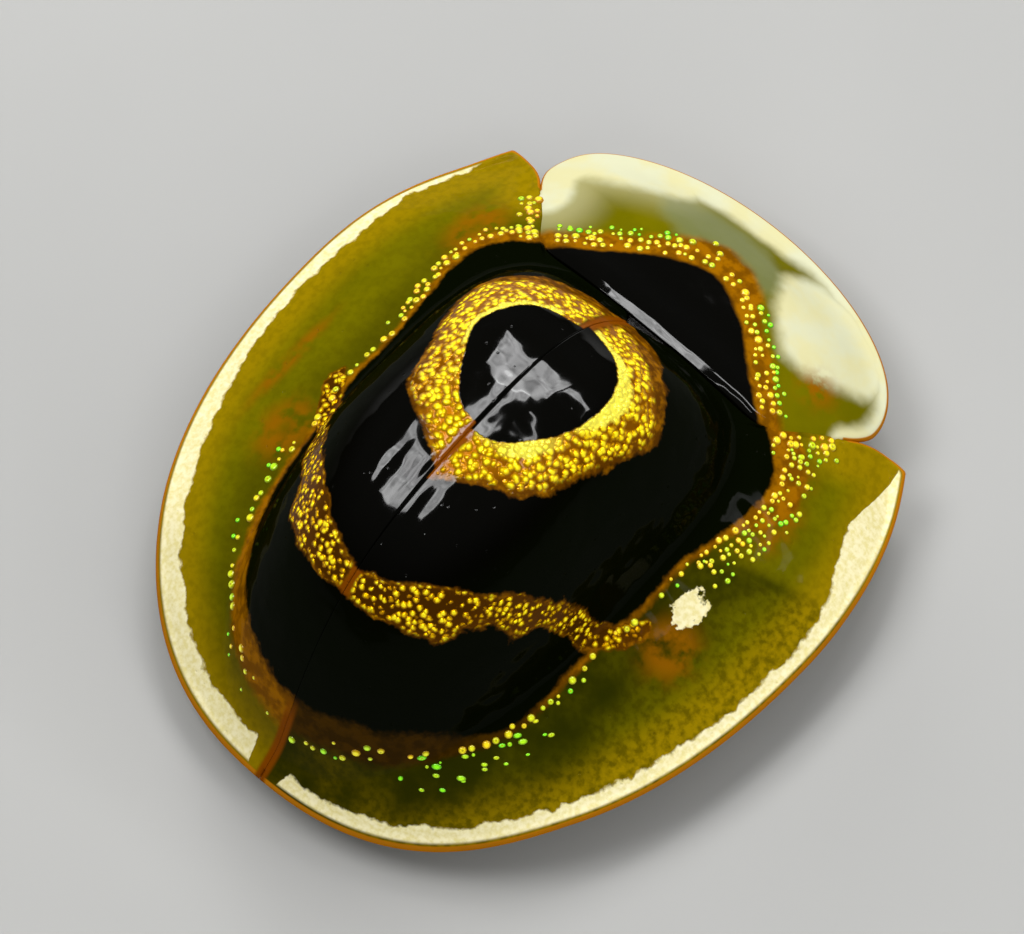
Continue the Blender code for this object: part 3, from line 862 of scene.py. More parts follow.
        # Painted shade: the olive darkens towards the disc, further on the right side; the stored ray adds a
        # dark streak in the same colour.
        shade = paint.level(murk, -0.40, -1.35)
        full = paint.level(murk, -0.08, -0.55)
        near = paint.times(paint.step(disc, shade, full), paint.level(cloud, 1.0, 0.75))
        near = paint.most(paint.times(near, paint.level(murk, 0.12, 1.35)), paint.stored("ray"))
        olive = paint.mix(near, olive, COLOURS.olive_shaded)
        stain = paint.times(paint.stored("stain"), paint.clouds(0.22, 0.30, 0.55))
        olive = paint.mix(stain, olive, COLOURS.stain)
        ragged = paint.shifted(paint.shifted(rim, paint.noise(0.16, 4.0), 0.16), paint.noise(0.5, 2.0), 0.10)
        width = paint.stored("cream_width")
        cream = paint.step(ragged, width, paint.math("SUBTRACT", width, 0.035))
        cream = paint.times(cream, paint.step(rim, 0.040, 0.070))
        scar = paint.shifted(paint.stored("scar"), paint.noise(0.10, 4.0), 0.9)
        cream = paint.most(cream, paint.step(scar, 0.50, 0.60))
        chalk = paint.mix(paint.clouds(0.06, 0.3, 0.7), COLOURS.cream_dark, COLOURS.cream)
        colour = paint.mix(cream, olive, chalk)
        return paint.mix(paint.step(rim, 0.040, 0.026), colour, COLOURS.edge_brown)


@dataclass(frozen=True)
class ShieldFinish:
    """The neck shield: black towards the wing cases, olive and cream with a clear window in front."""

    def material(self) -> Material:
        """Builds the material from the distances that NeckShield keeps on its mesh.

        Returns:
            The material.
        """
        paint = Paint("neck_shield_finish")
        wave = paint.noise(0.30, 3.0)
        fine = paint.noise(0.08, 2.0)
        disc = paint.shifted(paint.shifted(paint.stored("disc"), wave, 0.10), fine, 0.03)
        cream = paint.shifted(paint.stored("cream"), wave, 0.16)
        window = paint.shifted(paint.stored("window"), wave, 0.22)
        rim = paint.stored("rim")
        cloud = paint.clouds(0.7, 0.35, 0.65, 4.0)
        olive = paint.mix(cloud, COLOURS.olive_pale, COLOURS.olive)
        clear = paint.step(window, -0.12, 0.14)
        colour = paint.mix(clear, olive, COLOURS.glass)
        haze = paint.times(paint.step(rim, 1.0, 0.35), paint.stored("haze"))
        colour = paint.mix(haze, colour, COLOURS.cream_soft)
        powder = paint.clouds(0.5, 0.35, 0.62)
        chalk = paint.mix(powder, COLOURS.cream_soft, COLOURS.cream_white)
        band = paint.math("SUBTRACT", paint.stored("band"), paint.times(wave, 0.12))
        front = paint.step(rim, band, paint.math("SUBTRACT", band, 0.18))
        share = paint.most(paint.step(cream, -0.14, 0.12), front)
        colour = paint.mix(share, colour, chalk)
        amber = paint.step(paint.shifted(paint.stored("amber"), wave, 0.16), -0.06, 0.08)
        blotch = paint.times(paint.stored("blotch"), paint.clouds(0.14, 0.35, 0.60))
        colour = paint.mix(blotch, colour, COLOURS.stain)
        colour = paint.mix(amber, colour, WingCaseFinish.amber(paint))
        dark = paint.step(disc, -0.015, 0.05)
        colour = paint.mix(dark, colour, COLOURS.black)
        colour = paint.mix(paint.step(rim, 0.028, 0.014), colour, COLOURS.edge_brown)
        see = paint.times(clear, paint.math("SUBTRACT", 1.0, paint.most(share, amber)))
        normal = paint.relief(paint.noise(0.6, 2.0), 0.030)
        return paint.finish(
            Base_Color=colour,
            Roughness=0.22,
            Transmission_Weight=paint.times(see, 0.35),
            Normal=normal,
            Coat_Normal=normal,
            Specular_IOR_Level=0.0,
            Coat_Weight=paint.math("MULTIPLY_ADD", dark, 0.85, 0.10),
            Coat_Roughness=0.06,
        )


@dataclass(frozen=True)
class SkinFinish:
    """Plain insect skin of one tone, with clouds, fine pits darkened as painted shade and a waxy gloss."""

    name: str
    light: Colour
    dark: Colour
    roughness: float
    pit_mm: float
    pit_depth: float

    def material(self) -> Material:
        """Builds the material.

        Returns:
            The material.
        """
        paint = Paint(self.name)
        colour = paint.mix(paint.clouds(0.30, 0.35, 0.65, 4.0), self.dark, self.light)
        pits = paint.step(paint.cells(self.pit_mm).outputs["Distance"], 0.10, 0.40)
        # Painted shade: the middle of each pit is darker.
        colour = paint.mix(paint.times(paint.math("SUBTRACT", 1.0, pits), 0.35), colour, self.dark)
        normal = paint.relief(pits, self.pit_depth, strength=0.8)
        return paint.finish(
            Base_Color=colour, Roughness=self.roughness, Normal=normal,
            Coat_Weight=0.5, Coat_Roughness=0.12, Coat_Normal=normal,
        )


@dataclass(frozen=True)
class EyeFinish:
    """A compound eye: small facets under a black gloss."""

    facet_mm: float = 0.030

    def material(self) -> Material:
        """Builds the material.

        Returns:
            The material.
        """
        paint = Paint("eye_finish")
        facets = paint.cells(self.facet_mm)
        height = paint.step(facets.outputs["Distance"], 0.55, 0.10)
        colour = paint.mix(height, (0.020, 0.010, 0.004), (0.004, 0.003, 0.003))
        normal = paint.relief(height, 0.005)
        return paint.finish(
            Base_Color=colour, Roughness=0.15, Normal=normal,
            Coat_Weight=1.0, Coat_Roughness=0.05, Coat_Normal=normal,
        )


@dataclass(frozen=True)
class FeelerFinish:
    """Amber feeler joints that darken towards the tip."""

    def material(self) -> Material:
        """Builds the material, which reads how far along the feeler each point is.

        Returns:
            The material.
        """
        paint = Paint("feeler_finish")
        share = paint.shifted(paint.stored("reach"), paint.noise(0.2), 0.12)
        colour = paint.mix(paint.step(share, 0.45, 0.66), (0.55, 0.30, 0.05), (0.045, 0.020, 0.006))
        down = paint.clouds(0.02, 0.35, 0.65, 2.0)
        return paint.finish(Base_Color=colour, Roughness=0.42, Normal=paint.relief(down, 0.004, strength=0.6))


@dataclass(frozen=True)
class DropFinish:
    """Metallic spots round a pit, from gold to green, with painted shade in the pit and towards the edge and
    a painted glow.
    """

    def material(self) -> Material:
        """Builds the material, which reads the tint and the pit that each spot keeps.

        Returns:
            The material.
        """
        paint = Paint("drop_finish")
        tint = paint.stored("tint")
        colour = paint.mix(tint, (1.0, 0.74, 0.010), (0.26, 0.92, 0.008))
        # Painted shade in the pit of every third spot.
        colour = paint.mix(paint.stored("pit"), colour, (0.42, 0.36, 0.004))
        # Painted shade towards each spot's edge.
        rim = paint.mix(tint, (0.34, 0.13, 0.001), (0.05, 0.22, 0.002))
        colour = paint.mix(paint.stored("shade"), colour, rim)
        # Painted glow: the spots give off light through their emission, though they are no lamp.
        paint.material.cycles.emission_sampling = "NONE"
        return paint.finish(
            Base_Color=colour, Metallic=0.20, Roughness=0.25, Emission_Color=colour, Emission_Strength=0.40,
            Coat_Weight=0.6, Coat_Roughness=0.08,
        )


@dataclass
class WingCase:
    """One wing case: a glossy dome that runs out into a thin clear margin."""

    side: Side
    finish: Material
    half_suture: float = 0.002 / SCALE
    tip_roundness: float = 2.25
    shoulder_out: float = 0.347
    shoulder_reach: float = 0.49
    shoulder_corner: Pair = (0.884, 0.302)
    notch_out: float = 0.272
    triangle_width: float = 0.036
    triangle_length: float = 0.042
    rim_thickness: float = 0.08 * MM
    disc_thickness: float = 0.28 * MM
    columns: int = 120
    rows: int = 380
    rim_line: Field = field(init=False)
    edge: Field = field(init=False)

    def __post_init__(self) -> None:
        """Lays out the plate's edge once."""
        long, wide = FORM.widest, FORM.half_width
        power = 2.0 / self.tip_roundness
        rim = []
        for angle in np.linspace(0.0, math.pi / 2.0, 160):
            rim.append((long * (1.0 - math.cos(angle) ** power), wide * math.sin(angle) ** power))
        for angle in np.linspace(0.0, math.acos(self.shoulder_out / wide), 50)[1:]:
            rim.append((long + self.shoulder_reach * math.sin(angle), wide * math.cos(angle)))
        notch = (float(base_line(self.notch_out)) - GAP, self.notch_out)
        rim += arc(rim[-1], self.shoulder_corner, notch, 40)
        self.rim_line = np.asarray(rim)
        inner = self.triangle_width + GAP
        base = [(float(base_line(out)) - GAP, out) for out in np.linspace(self.notch_out, inner, 60)[1:]]
        edge = np.asarray(rim + base + [(BASE - self.triangle_length - 2.0 * GAP, 0.0)])
        edge[:, 1] = np.maximum(edge[:, 1], self.half_suture)
        self.edge = evenly(edge, self.rows)

    def where(self, u: Field, v: Field) -> tuple[Field, Field]:
        """Plan of the plate: rays from the suture to the edge, with even steps over the surface.

        Args:
            u: grid places between 0 and 1, across the plate's edge.
            v: grid places between 0 and 1, along its edge.

        Returns:
            (along, out) in body lengths.
        """
        row = np.rint(v * self.rows).astype(int)
        column = np.rint(u * self.columns).astype(int)
        start = np.linspace((0.10, self.half_suture), (0.70, self.half_suture), self.rows + 1)
        shares = np.linspace(0.0, 1.0, 400)
        rays = start[:, None, :] + (self.edge - start)[:, None, :] * shares[None, :, None]
        height = FORM.top(rays[..., 0], rays[..., 1]) / FORM.LENGTH
        solid = np.concatenate([rays, height[..., None]], 2)
        steps = np.linalg.norm(np.diff(solid, axis=1), axis=2)
        travelled = np.concatenate([np.zeros((self.rows + 1, 1)), np.cumsum(steps, 1)], 1)
        spread = np.linspace(0.0, 1.0, self.columns + 1)
        spread = 0.35 * spread + 0.65 * (1.0 - np.cos(math.pi * spread)) / 2.0
        table = np.stack([np.interp(spread * line[-1], line, shares) for line in travelled])
        share = table[row, column]
        place = start[row] + (self.edge[row] - start[row]) * share[:, None]
        return place[:, 0], self.side.value * place[:, 1]

    def edge_distance(self, along: Field, out: Field) -> Field:
        """Distance from the plate's own edge in millimetres, the suture included."""
        closed = np.concatenate([evenly(self.edge, 160), [[0.0, self.half_suture]]]) * SCALE
        return np.maximum(distance_inside(plan_mm(along, np.abs(out)), closed), 0.0)

    def top(self, along: Field, out: Field) -> Field:
        """Outer face, rolled down at its edges, with a fine raised hem at the rim.

        Args:
            along: shares of the body length.
            out: distances from the midline, as shares of it.

        Returns:
            Heights in metres.
        """
        edge = self.edge_distance(along, out)
        rim = self.rim_distance(along, out)
        roll = np.where(rim < 0.10, edge_roll(edge, 0.042), edge_roll(edge, 0.014))
        hem = 0.014 * hump(rim, 0.065, 0.03) * smoothstep(0.0, 0.05, np.abs(out) - 0.004)
        return FORM.top(along, out) + (hem - roll) * MM

    def wall(self, along: Field, out: Field) -> Field:
        """Thickness of the plate."""
        inner = smoothstep(0.95, 0.62, FORM.rim_reach(along, out))
        return self.rim_thickness + (self.disc_thickness - self.rim_thickness) * inner

    def bottom(self, along: Field, out: Field) -> Field:
        """Inner face, rolled up at its edges."""
        roll = edge_roll(self.edge_distance(along, out), 0.042)
        return FORM.under(along, out, self.wall(along, out)) + roll * MM

    def rim_distance(self, along: Field, out: Field) -> Field:
        """Distance from the outer rim in millimetres."""
        return distance_from(plan_mm(along, np.abs(out)), evenly(self.rim_line, 140) * SCALE)

    def build(self) -> Object:
        """Makes the plate and keeps the distances that its material reads.

        Returns:
            The plate.
        """
        piece = f"wing_case_{self.side.word}"
        mesh = sheet(piece, self.columns, self.rows, self.where, self.top, self.bottom)
        along, out, plan = plan_of(mesh)
        right = float(self.side is Side.RIGHT)
        wider = {
            "disc": right * 0.13 * hump(along, 0.25, 0.08) + 0.03,
            "ring": (right - 1.0) * 0.12 * smoothstep(0.54, 0.42, along),
            "hole": (right - 1.0) * 0.09 * (1.0 - hump(along, 0.535, 0.03)),
            "band": 0.0,
        }
        marks = {}
        for name, more in wider.items():
            marks[name] = distance_inside(plan, mirrored_line(getattr(MARKS, name))) + more
        gutter = smoothstep(0.90, 1.06, FORM.dome_reach(along, out))
        ahead = ((along - 0.566) * 0.899 - (np.abs(out) - 0.241) * 0.437) * SCALE
        within = smoothstep(0.22, 0.27, np.abs(out)) * smoothstep(0.40, 0.34, np.abs(out))
        store(
            mesh,
            **marks,
            along=along,
            seam=np.abs(out) * SCALE,
            melt=self.melt(along, out),
            rim=self.rim_distance(along, out),
            cream_width=self.cream_width(along, out),
            stain=self.stains(along, out),
            level=FORM.level_share(along, out) * (1.0 - 0.7 * gutter),
            combed=hump(along, 0.315, 0.065, 4.0) * hump(out, 0.0, 0.085, 4.0),
            amber_width=self.amber_width(along),
            # murk gives the right side more dark grain and a wider painted shade beside the disc.
            murk=0.25 + 0.45 * right * smoothstep(0.20, -0.10, ahead),
            ray=0.75 * right * within * hump(ahead, 0.0, 0.09),
            # shade: where the amber darkens as painted shade, at the rear of the right side.
            shade=0.85 * right * smoothstep(0.36, 0.24, along),
            scar=right * hump(along, 0.512, 0.036) * hump(out, -0.292, 0.024),
        )
        return new_piece(piece, mesh, self.finish, "black_shell", f"elytron_{self.side.word}")

    def melt(self, along: Field, out: Field) -> Field:
        """Where the gold beside the ring's hole runs together into one bright patch, partly real gold and
        partly a painted reflection, between 0 and 1.
        """
        side = hump(along, 0.585, 0.050) * hump(out, -0.110, 0.050)
        return np.maximum(side, hump(along, 0.440, 0.040) * hump(out, -0.070, 0.035))

    def cream_width(self, along: Field, out: Field) -> Field:
        """Width of the cream rim, wider on the right shoulder.

        Args:
            along: shares of the body length.
            out: distances from the midline, as shares of it.

        Returns:
            Widths in millimetres.
        """
        apex = smoothstep(0.018, 0.034, np.abs(out) + np.maximum(0.0, along - 0.05))
        if self.side is Side.RIGHT:
            width = 0.21 + 0.25 * smoothstep(0.62, 0.76, along)
            front = smoothstep(0.66, 0.70, along) * smoothstep(0.352, 0.335, np.abs(out))
            return width * apex * (1.0 - front)
        shoulder = 0.6 * smoothstep(0.62, 0.78, along) + 0.4 * smoothstep(0.80, 0.87, along)
        return (0.27 + 0.04 * np.sin(along * 9.0)) * apex * (1.0 - shoulder)

    def amber_width(self, along: Field) -> Field:
        """How far the amber reaches outside the black disc.

        Args:
            along: shares of the body length.

        Returns:
            Distances below 0, in millimetres.
        """
        rear = 0.12 * smoothstep(0.30, 0.10, along)
        shoulder = 0.30 if self.side is Side.RIGHT else 0.10
        return -(0.08 + rear + shoulder * smoothstep(0.60, 0.72, along))

    def stains(self, along: Field, out: Field) -> Field:
        """Soft ochre stains beside the disc and behind the shoulder.

        Args:
            along: shares of the body length.
            out: distances from the midline, as shares of it.

        Returns:
            1 in a stain and 0 outside it.
        """
        spots = ((0.352, 0.274, 0.045, 0.034), (0.735, 0.283, 0.050, 0.030), (0.436, 0.342, 0.075, 0.010))
        if self.side is Side.RIGHT:
            spots = ((0.456, 0.309, 0.040, 0.034), (0.739, 0.265, 0.034, 0.026), (0.675, 0.296, 0.042, 0.022))
        total = np.zeros_like(along)
        for at_along, at_out, long, wide in spots:
            away = ((along - at_along) / long) ** 2 + ((np.abs(out) - at_out) / wide) ** 2
            total = np.maximum(total, np.exp(-(away**1.5)) * (1.0 - 0.7 * np.exp(-8.0 * away)))
        return total


@dataclass
class NeckShield:
    """The pronotum: a broad plate over the head."""

    finish: Material
    middle: float = 0.870
    widest: float = 0.880
    half_width: float = 0.287
    front_reach: float = 0.145
    corner_out: float = 0.268
    corner_pull: Pair = (0.862, 0.285)
    rim_thickness: float = 0.09 * MM
    disc_thickness: float = 0.24 * MM
    columns: int = 84
    rows: int = 420
    edge: Field = field(init=False)
    front: Field = field(init=False)

    def __post_init__(self) -> None:
        """Lays out the plate's edge once."""
        half = []
        for angle in np.linspace(0.0, math.pi / 2.0, 80):
            half.append((self.widest + self.front_reach * math.cos(angle), self.half_width * math.sin(angle)))
        corner = (float(base_line(self.corner_out)) + GAP, self.corner_out)
        half += arc(half[-1], self.corner_pull, corner, 30)
        self.front = np.asarray([(a, -o) for a, o in reversed(half)] + half[1:])
        half += [(float(base_line(out)) + GAP, out) for out in np.linspace(self.corner_out, 0.0, 60)[1:]]
        self.edge = evenly(half + [(a, -o) for a, o in reversed(half[:-1])], self.rows)

    def where(self, u: Field, v: Field) -> tuple[Field, Field]:
        """Plan of the plate: rays from its middle to the edge, closer together at the edge.

        Args:
            u: grid places between 0 and 1, across the plate's edge.
            v: grid places between 0 and 1, along its edge.

        Returns:
            (along, out) in body lengths.
        """
        row = np.rint(v * self.rows).astype(int) % self.rows
        u = 0.45 * u + 0.55 * np.sin(0.5 * math.pi * u)
        end = self.edge[row]
        return self.middle + (end[:, 0] - self.middle) * u, end[:, 1] * u

    def edge_distance(self, along: Field, out: Field) -> Field:
        """Distance from the plate's own edge in millimetres."""
        return np.maximum(distance_inside(plan_mm(along, out), evenly(self.edge, 200)[:-1] * SCALE), 0.0)

    def front_distance(self, along: Field, out: Field) -> Field:
        """Distance from the free front edge in millimetres."""
        return distance_from(plan_mm(along, out), evenly(self.front, 120) * SCALE)

    def top(self, along: Field, out: Field) -> Field:
        """Outer face, rolled down at its edges and sloped towards the wing cases.

        Args:
            along: shares of the body length.
            out: distances from the midline, as shares of it.

        Returns:
            Heights in metres.
        """
        front, edge = self.front_distance(along, out), self.edge_distance(along, out)
        roll = edge_roll(edge, np.where(front < 0.10, 0.038, 0.016))
        slope = 0.045 * np.maximum(0.0, 1.0 - edge / 0.16) ** 2 * smoothstep(0.10, 0.20, front)
        return FORM.top(along, out) + shield_crown(along, out) - (roll + slope) * MM

    def bottom(self, along: Field, out: Field) -> Field:
        """Inner face, rolled up at its edges.

        Args:
            along: shares of the body length.
            out: distances from the midline, as shares of it.

        Returns:
            Heights in metres.
        """
        inner = smoothstep(0.95, 0.55, FORM.rim_reach(along, out))
        wall = self.rim_thickness + (self.disc_thickness - self.rim_thickness) * inner
        return FORM.under(along, out, wall) + edge_roll(self.edge_distance(along, out), 0.038) * MM

    def build(self) -> Object:
        """Makes the plate and keeps the distances that its material reads.

        Returns:
            The plate.
        """
        mesh = sheet("neck_shield", self.columns, self.rows, self.where, self.top, self.bottom)
        along, out, plan = plan_of(mesh)
        patches = [distance_inside(plan, closed_line(line)) for line in (MARKS.cream_left, MARKS.cream_right)]
        store(
            mesh,
            disc=distance_inside(plan, mirrored_line(MARKS.shield_disc)),
            amber=distance_inside(plan, mirrored_line(MARKS.shield_amber)),
            haze=0.42 * smoothstep(0.06, 0.16, out),
            blotch=hump(along, 0.864, 0.022) * hump(out, -0.202, 0.024),
            window=distance_inside(plan, closed_line(MARKS.window)),
            cream=np.maximum(*patches),
            rim=self.front_distance(along, out),
            band=0.42 + 0.12 * smoothstep(0.08, 0.22, out) - 0.12 * smoothstep(0.0, 0.08, -out),
        )
        return new_piece("neck_shield", mesh, self.finish, "amber_shell", "pronotum")


@dataclass
class Scutellum:
    """The small black triangle between the wing cases and the neck shield."""

    finish: Material
    half_width: float = 0.034
    half_tip: float = 0.002
    length: float = 0.040
    thickness: float = 0.25 * MM

    def build(self) -> Object:
        """Makes the plate.

        Returns:
            The plate.
        """

        def half(share: Field) -> Field:
            """Half width at a share of the way to the tip."""
            return self.half_width * (1.0 - share) + self.half_tip * share

        def where(u: Field, v: Field) -> tuple[Field, Field]:
            """Plan of the plate."""
            return BASE - GAP - self.length * v, half(v) * (2.0 * u - 1.0)

        def top(along: Field, out: Field) -> Field:
            """Outer face, rolled down at its edges.

            Args:
                along: shares of the body length.
                out: distances from the midline, as shares of it.

            Returns:
                Heights in metres.
            """
            behind = BASE - GAP - along
            edge = np.minimum(half(behind / self.length) - np.abs(out), behind) * SCALE
            return FORM.top(along, out) - edge_roll(edge, 0.03) * MM

        def bottom(along: Field, out: Field) -> Field:
            """Inner face."""
            return FORM.under(along, out, self.thickness)

        mesh = sheet("scutellum_plate", 36, 40, where, top, bottom)
        return new_piece("scutellum_plate", mesh, self.finish, "black_shell", "scutellum")


@dataclass(frozen=True)
class SpotRow:
    """A row of spots: its line, its sides and its distance outward, gap, size, tint and density."""

    line: tuple[Pair, ...]
    sides: tuple[Side, ...]
    outward: float
    gap: float
    size: float
    green: float
    keep: float
    stretch: float = 1.0


@dataclass
class BorderSpots:
    """The rows of bright pitted spots round the disc and on the neck shield."""

    finish: Material
    radius: float = 0.047 * MM
    height: float = 0.018 * MM
    seed: int = 11

    def spot(self) -> Mesh:
        """One round spot with a pit in its middle, as a turned profile of unit radius.

        Returns:
            The spot's mesh.
        """
        shape = bmesh.new()
        profile = [(0.0, 0.70), (0.14, 0.74), (0.38, 1.0), (0.80, 0.55), (1.0, -0.9)]
        corners = [shape.verts.new((x, 0.0, z)) for x, z in profile]
        geom = corners + [shape.edges.new(pair) for pair in zip(corners, corners[1:])]
        bmesh.ops.spin(
            shape, geom=geom, cent=(0, 0, 0), axis=(0, 0, 1), angle=math.tau, steps=9, use_merge=True
        )
        bmesh.ops.remove_doubles(shape, verts=shape.verts, dist=1e-4)
        bmesh.ops.contextual_create(shape, geom=[edge for edge in shape.edges if edge.is_boundary])
        bmesh.ops.recalc_face_normals(shape, faces=shape.faces)
        mesh = bpy.data.meshes.new("spot")
        shape.to_mesh(mesh)
        shape.free()
        return mesh

    def rows(self) -> list[SpotRow]:
        """The rows, from the border of the disc outwards.

        Returns:
            One SpotRow for each.
        """
        hind = (
            (0.045, 0.0), (0.050, 0.040), (0.066, 0.080), (0.090, 0.120), (0.132, 0.165), (0.162, 0.198),
            (0.210, 0.225), (0.259, 0.238), (0.289, 0.243), (0.330, 0.247),
        )
        waist = (
            (0.330, 0.247), (0.366, 0.244), (0.400, 0.246), (0.452, 0.255), (0.510, 0.252), (0.565, 0.252),
        )
        shoulder = ((0.565, 0.252), (0.626, 0.262), (0.670, 0.266), (0.720, 0.262), (0.765, 0.232))
        corner = ((0.768, 0.214), (0.786, 0.234), (0.824, 0.262))
        neck = ((0.778, 0.178), (0.808, 0.138), (0.846, 0.096), (0.872, 0.056))
        brow = ((0.872, 0.056), (0.887, 0.026), (0.890, 0.0), (0.887, -0.026), (0.872, -0.056))
        both, right, left = (Side.LEFT, Side.RIGHT), (Side.RIGHT,), (Side.LEFT,)
        table = [
            (hind, both, -0.02, 0.130, 1.05, 0.35, 0.85), (hind[2:], both, 0.07, 0.18, 0.70, 0.90, 0.50),
            (waist, both, 0.02, 0.12, 1.05, 0.25, 0.75), (waist, both, 0.11, 0.20, 0.65, 0.75, 0.35),
            (shoulder, both, 0.04, 0.085, 1.0, 0.10, 0.95), (shoulder, both, 0.12, 0.09, 0.90, 0.25, 0.90),
            (corner, both, -0.04, 0.08, 1.10, 0.05, 0.95), (corner, both, 0.04, 0.075, 1.15, 0.05, 0.95),
            (corner, both, 0.12, 0.08, 0.95, 0.35, 0.90), (corner, right, 0.20, 0.09, 0.80, 0.55, 0.80),
            (neck, both, 0.05, 0.095, 0.95, 0.10, 0.90), (neck, both, 0.14, 0.095, 1.10, 0.15, 0.95),
            (neck, both, 0.24, 0.10, 0.95, 0.65, 0.95), (neck, both, 0.31, 0.12, 0.75, 0.90, 0.75),
            (brow, left, 0.06, 0.10, 0.90, 0.10, 0.85), (brow, left, 0.16, 0.10, 1.15, 0.10, 0.90),
            (brow[2:], right, 0.26, 0.11, 1.00, 0.45, 0.80), (brow[1:4], right, 0.38, 0.12, 0.85, 0.85, 0.70),
        ]
        table += [
            (shoulder, right, 0.20 + 0.085 * i, 0.09, 0.80, 0.35 + 0.1 * i, 0.80 - 0.1 * i) for i in range(3)
        ]
        table += [(hind[4:9], right, 0.06 + 0.09 * i, 0.20, 0.9 - 0.18 * i, 0.8, 0.85, 1.6) for i in range(3)]
        return [SpotRow(*row) for row in table]

    def places(self) -> list[tuple[float, float, float, float, float]]:
        """Draws where the spots are.

        Returns:
            Along, out, size, stretch and how green it is, for each spot.
        """
        chance = random.Random(self.seed)
        made = []
        for row in self.rows():
            length = np.linalg.norm(np.diff(np.asarray(row.line), axis=0), axis=1).sum() * SCALE
            points = evenly(row.line, max(2, int(length / row.gap)))
            heading = np.gradient(points, axis=0)
            heading /= np.linalg.norm(heading, axis=1)[:, None]
            for side in row.sides:
                for (along, out), (run, rise) in zip(points, heading):
                    if chance.random() > row.keep:
                        continue
                    push = (row.outward + chance.gauss(0.0, 0.18 * row.gap)) / SCALE
                    slide = chance.gauss(0.0, 0.18 * row.gap) / SCALE
                    at_along = along - rise * push + run * slide
                    at_out = side.value * (out + run * push + rise * slide)
                    tint = min(1.0, max(0.0, row.green + chance.gauss(0.0, 0.22)))
                    size = row.size * chance.uniform(0.55, 1.25)
                    made.append((at_along, at_out, size, row.stretch, tint))
        return made

    def build(self) -> Object:
        """Sets every spot into the shell, as one piece.

        Returns:
            The piece.
        """
        template = self.spot()
        shape = bmesh.new()
        tint, pit, shade = (shape.verts.layers.float.new(name) for name in ("tint", "pit", "shade"))
        for along, out, size, stretch, green in self.places():
            if not 0.02 < along < 0.93 or abs(out) < 0.012:
                continue
            before = len(shape.verts)
            shape.from_mesh(template)
            shape.verts.ensure_lookup_table()
            added = shape.verts[before:]
            deep = 1.0 if (before // len(added)) % 3 == 0 else 0.0
            for vertex in added:
                away = vertex.co.xy.length
                vertex[tint] = green
                # pit and shade mark where the spot's finish paints shade: in the pit and towards the edge.
                vertex[pit] = deep if away < 0.2 else 0.0
                vertex[shade] = min(1.0, max(0.0, (away - 0.38) / 0.45))
            turn = FORM.normal(along, out).to_track_quat("Z", "Y").to_matrix().to_4x4()
            radius = self.radius * size
            grow = Matrix.Diagonal((radius * stretch, radius, self.height * size, 1.0))
            lift = float(shield_crown(along, out)) if along > base_line(out) else 0.0
            place = Matrix.Translation(FORM.point(along, out, lift)) @ turn @ grow
            bmesh.ops.transform(shape, matrix=place, verts=added)
        bpy.data.meshes.remove(template)
        return new_piece("border_spots", mesh_of(shape, "border_spots", 80.0), self.finish, "black_shell")


def limb(path: Sequence[Vector], radii: Sequence[float], sides: int, widen: float = 1.0) -> Shape:
    """A limb: a ring swept along a path by extruding it from station to station.

    Args:
        path: the stations, in millimetres.
        radii: the ring's radius at each, in millimetres.
        sides: the ring's corners.
        widen: how much wider than thick the limb is.

    Returns:
        A closed shape whose points keep their share of the way in the layer `reach`.
    """
    shape = bmesh.new()
    layer = shape.verts.layers.float.new("reach")
    edges: list[bmesh.types.BMEdge] = []
    start, old_side, old_up = Vector(), Vector((1.0, 0.0, 0.0)), Vector((0.0, 1.0, 0.0))
    old_radius = old_width = 1.0
    for index, radius in enumerate(radii):
        here, radius = path[index] * MM, radius * MM
        ahead = (path[min(len(path) - 1, index + 1)] - path[max(0, index - 1)]).normalized()
        side = ahead.cross(Vector((0.0, 0.0, 1.0)))
        side = side.normalized() if side.length > 1e-4 else ahead.orthogonal().normalized()
        up = side.cross(ahead).normalized()
        if index == 0:
            ring = bmesh.ops.create_circle(shape, cap_ends=True, segments=sides, radius=1.0)["verts"]
            edges = list({edge for vertex in ring for edge in vertex.link_edges})
        else:
            grown = bmesh.ops.extrude_edge_only(shape, edges=edges)["geom"]
            ring = [item for item in grown if isinstance(item, bmesh.types.BMVert)]
            edges = [item for item in grown if isinstance(item, bmesh.types.BMEdge)]
        for vertex in ring:
            vertex[layer] = index / (len(path) - 1)
            away = vertex.co - start
            flat_x, flat_y = away.dot(old_side) / old_width, away.dot(old_up) / old_radius
            vertex.co = here + (side * flat_x * widen + up * flat_y) * radius
        start, old_side, old_up, old_radius, old_width = here, side, up, radius, radius * widen
    bmesh.ops.contextual_create(shape, geom=edges)
    return shape


def curve_through(points: Sequence[Sequence[float]], count: int) -> list[Vector]:
    """Evenly spaced points on a smooth line.

    Args:
        points: what the line goes through.
        count: how many points it gets.

    Returns:
        The points.
    """
    corners = [Vector(point) for point in points]
    ends = [2.0 * corners[0] - corners[1], *corners, 2.0 * corners[-1] - corners[-2]]
    fine = []
    for a, b, c, d in zip(ends, ends[1:], ends[2:], ends[3:]):
        for share in np.linspace(0.0, 1.0, 16, endpoint=False):
            bend = (2.0 * a - 5.0 * b + 4.0 * c - d) * share**2 + (3.0 * b - a - 3.0 * c + d) * share**3
            fine.append(0.5 * (2.0 * b + (c - a) * share + bend))
    fine.append(corners[-1])
    steps = np.concatenate([[0.0], np.cumsum([(q - p).length for p, q in zip(fine, fine[1:])])])
    wanted = np.linspace(0.0, steps[-1], count)
    flat = np.asarray(fine)
    return [Vector(tuple(np.interp(at, steps, flat[:, i]) for i in range(3))) for at in wanted]


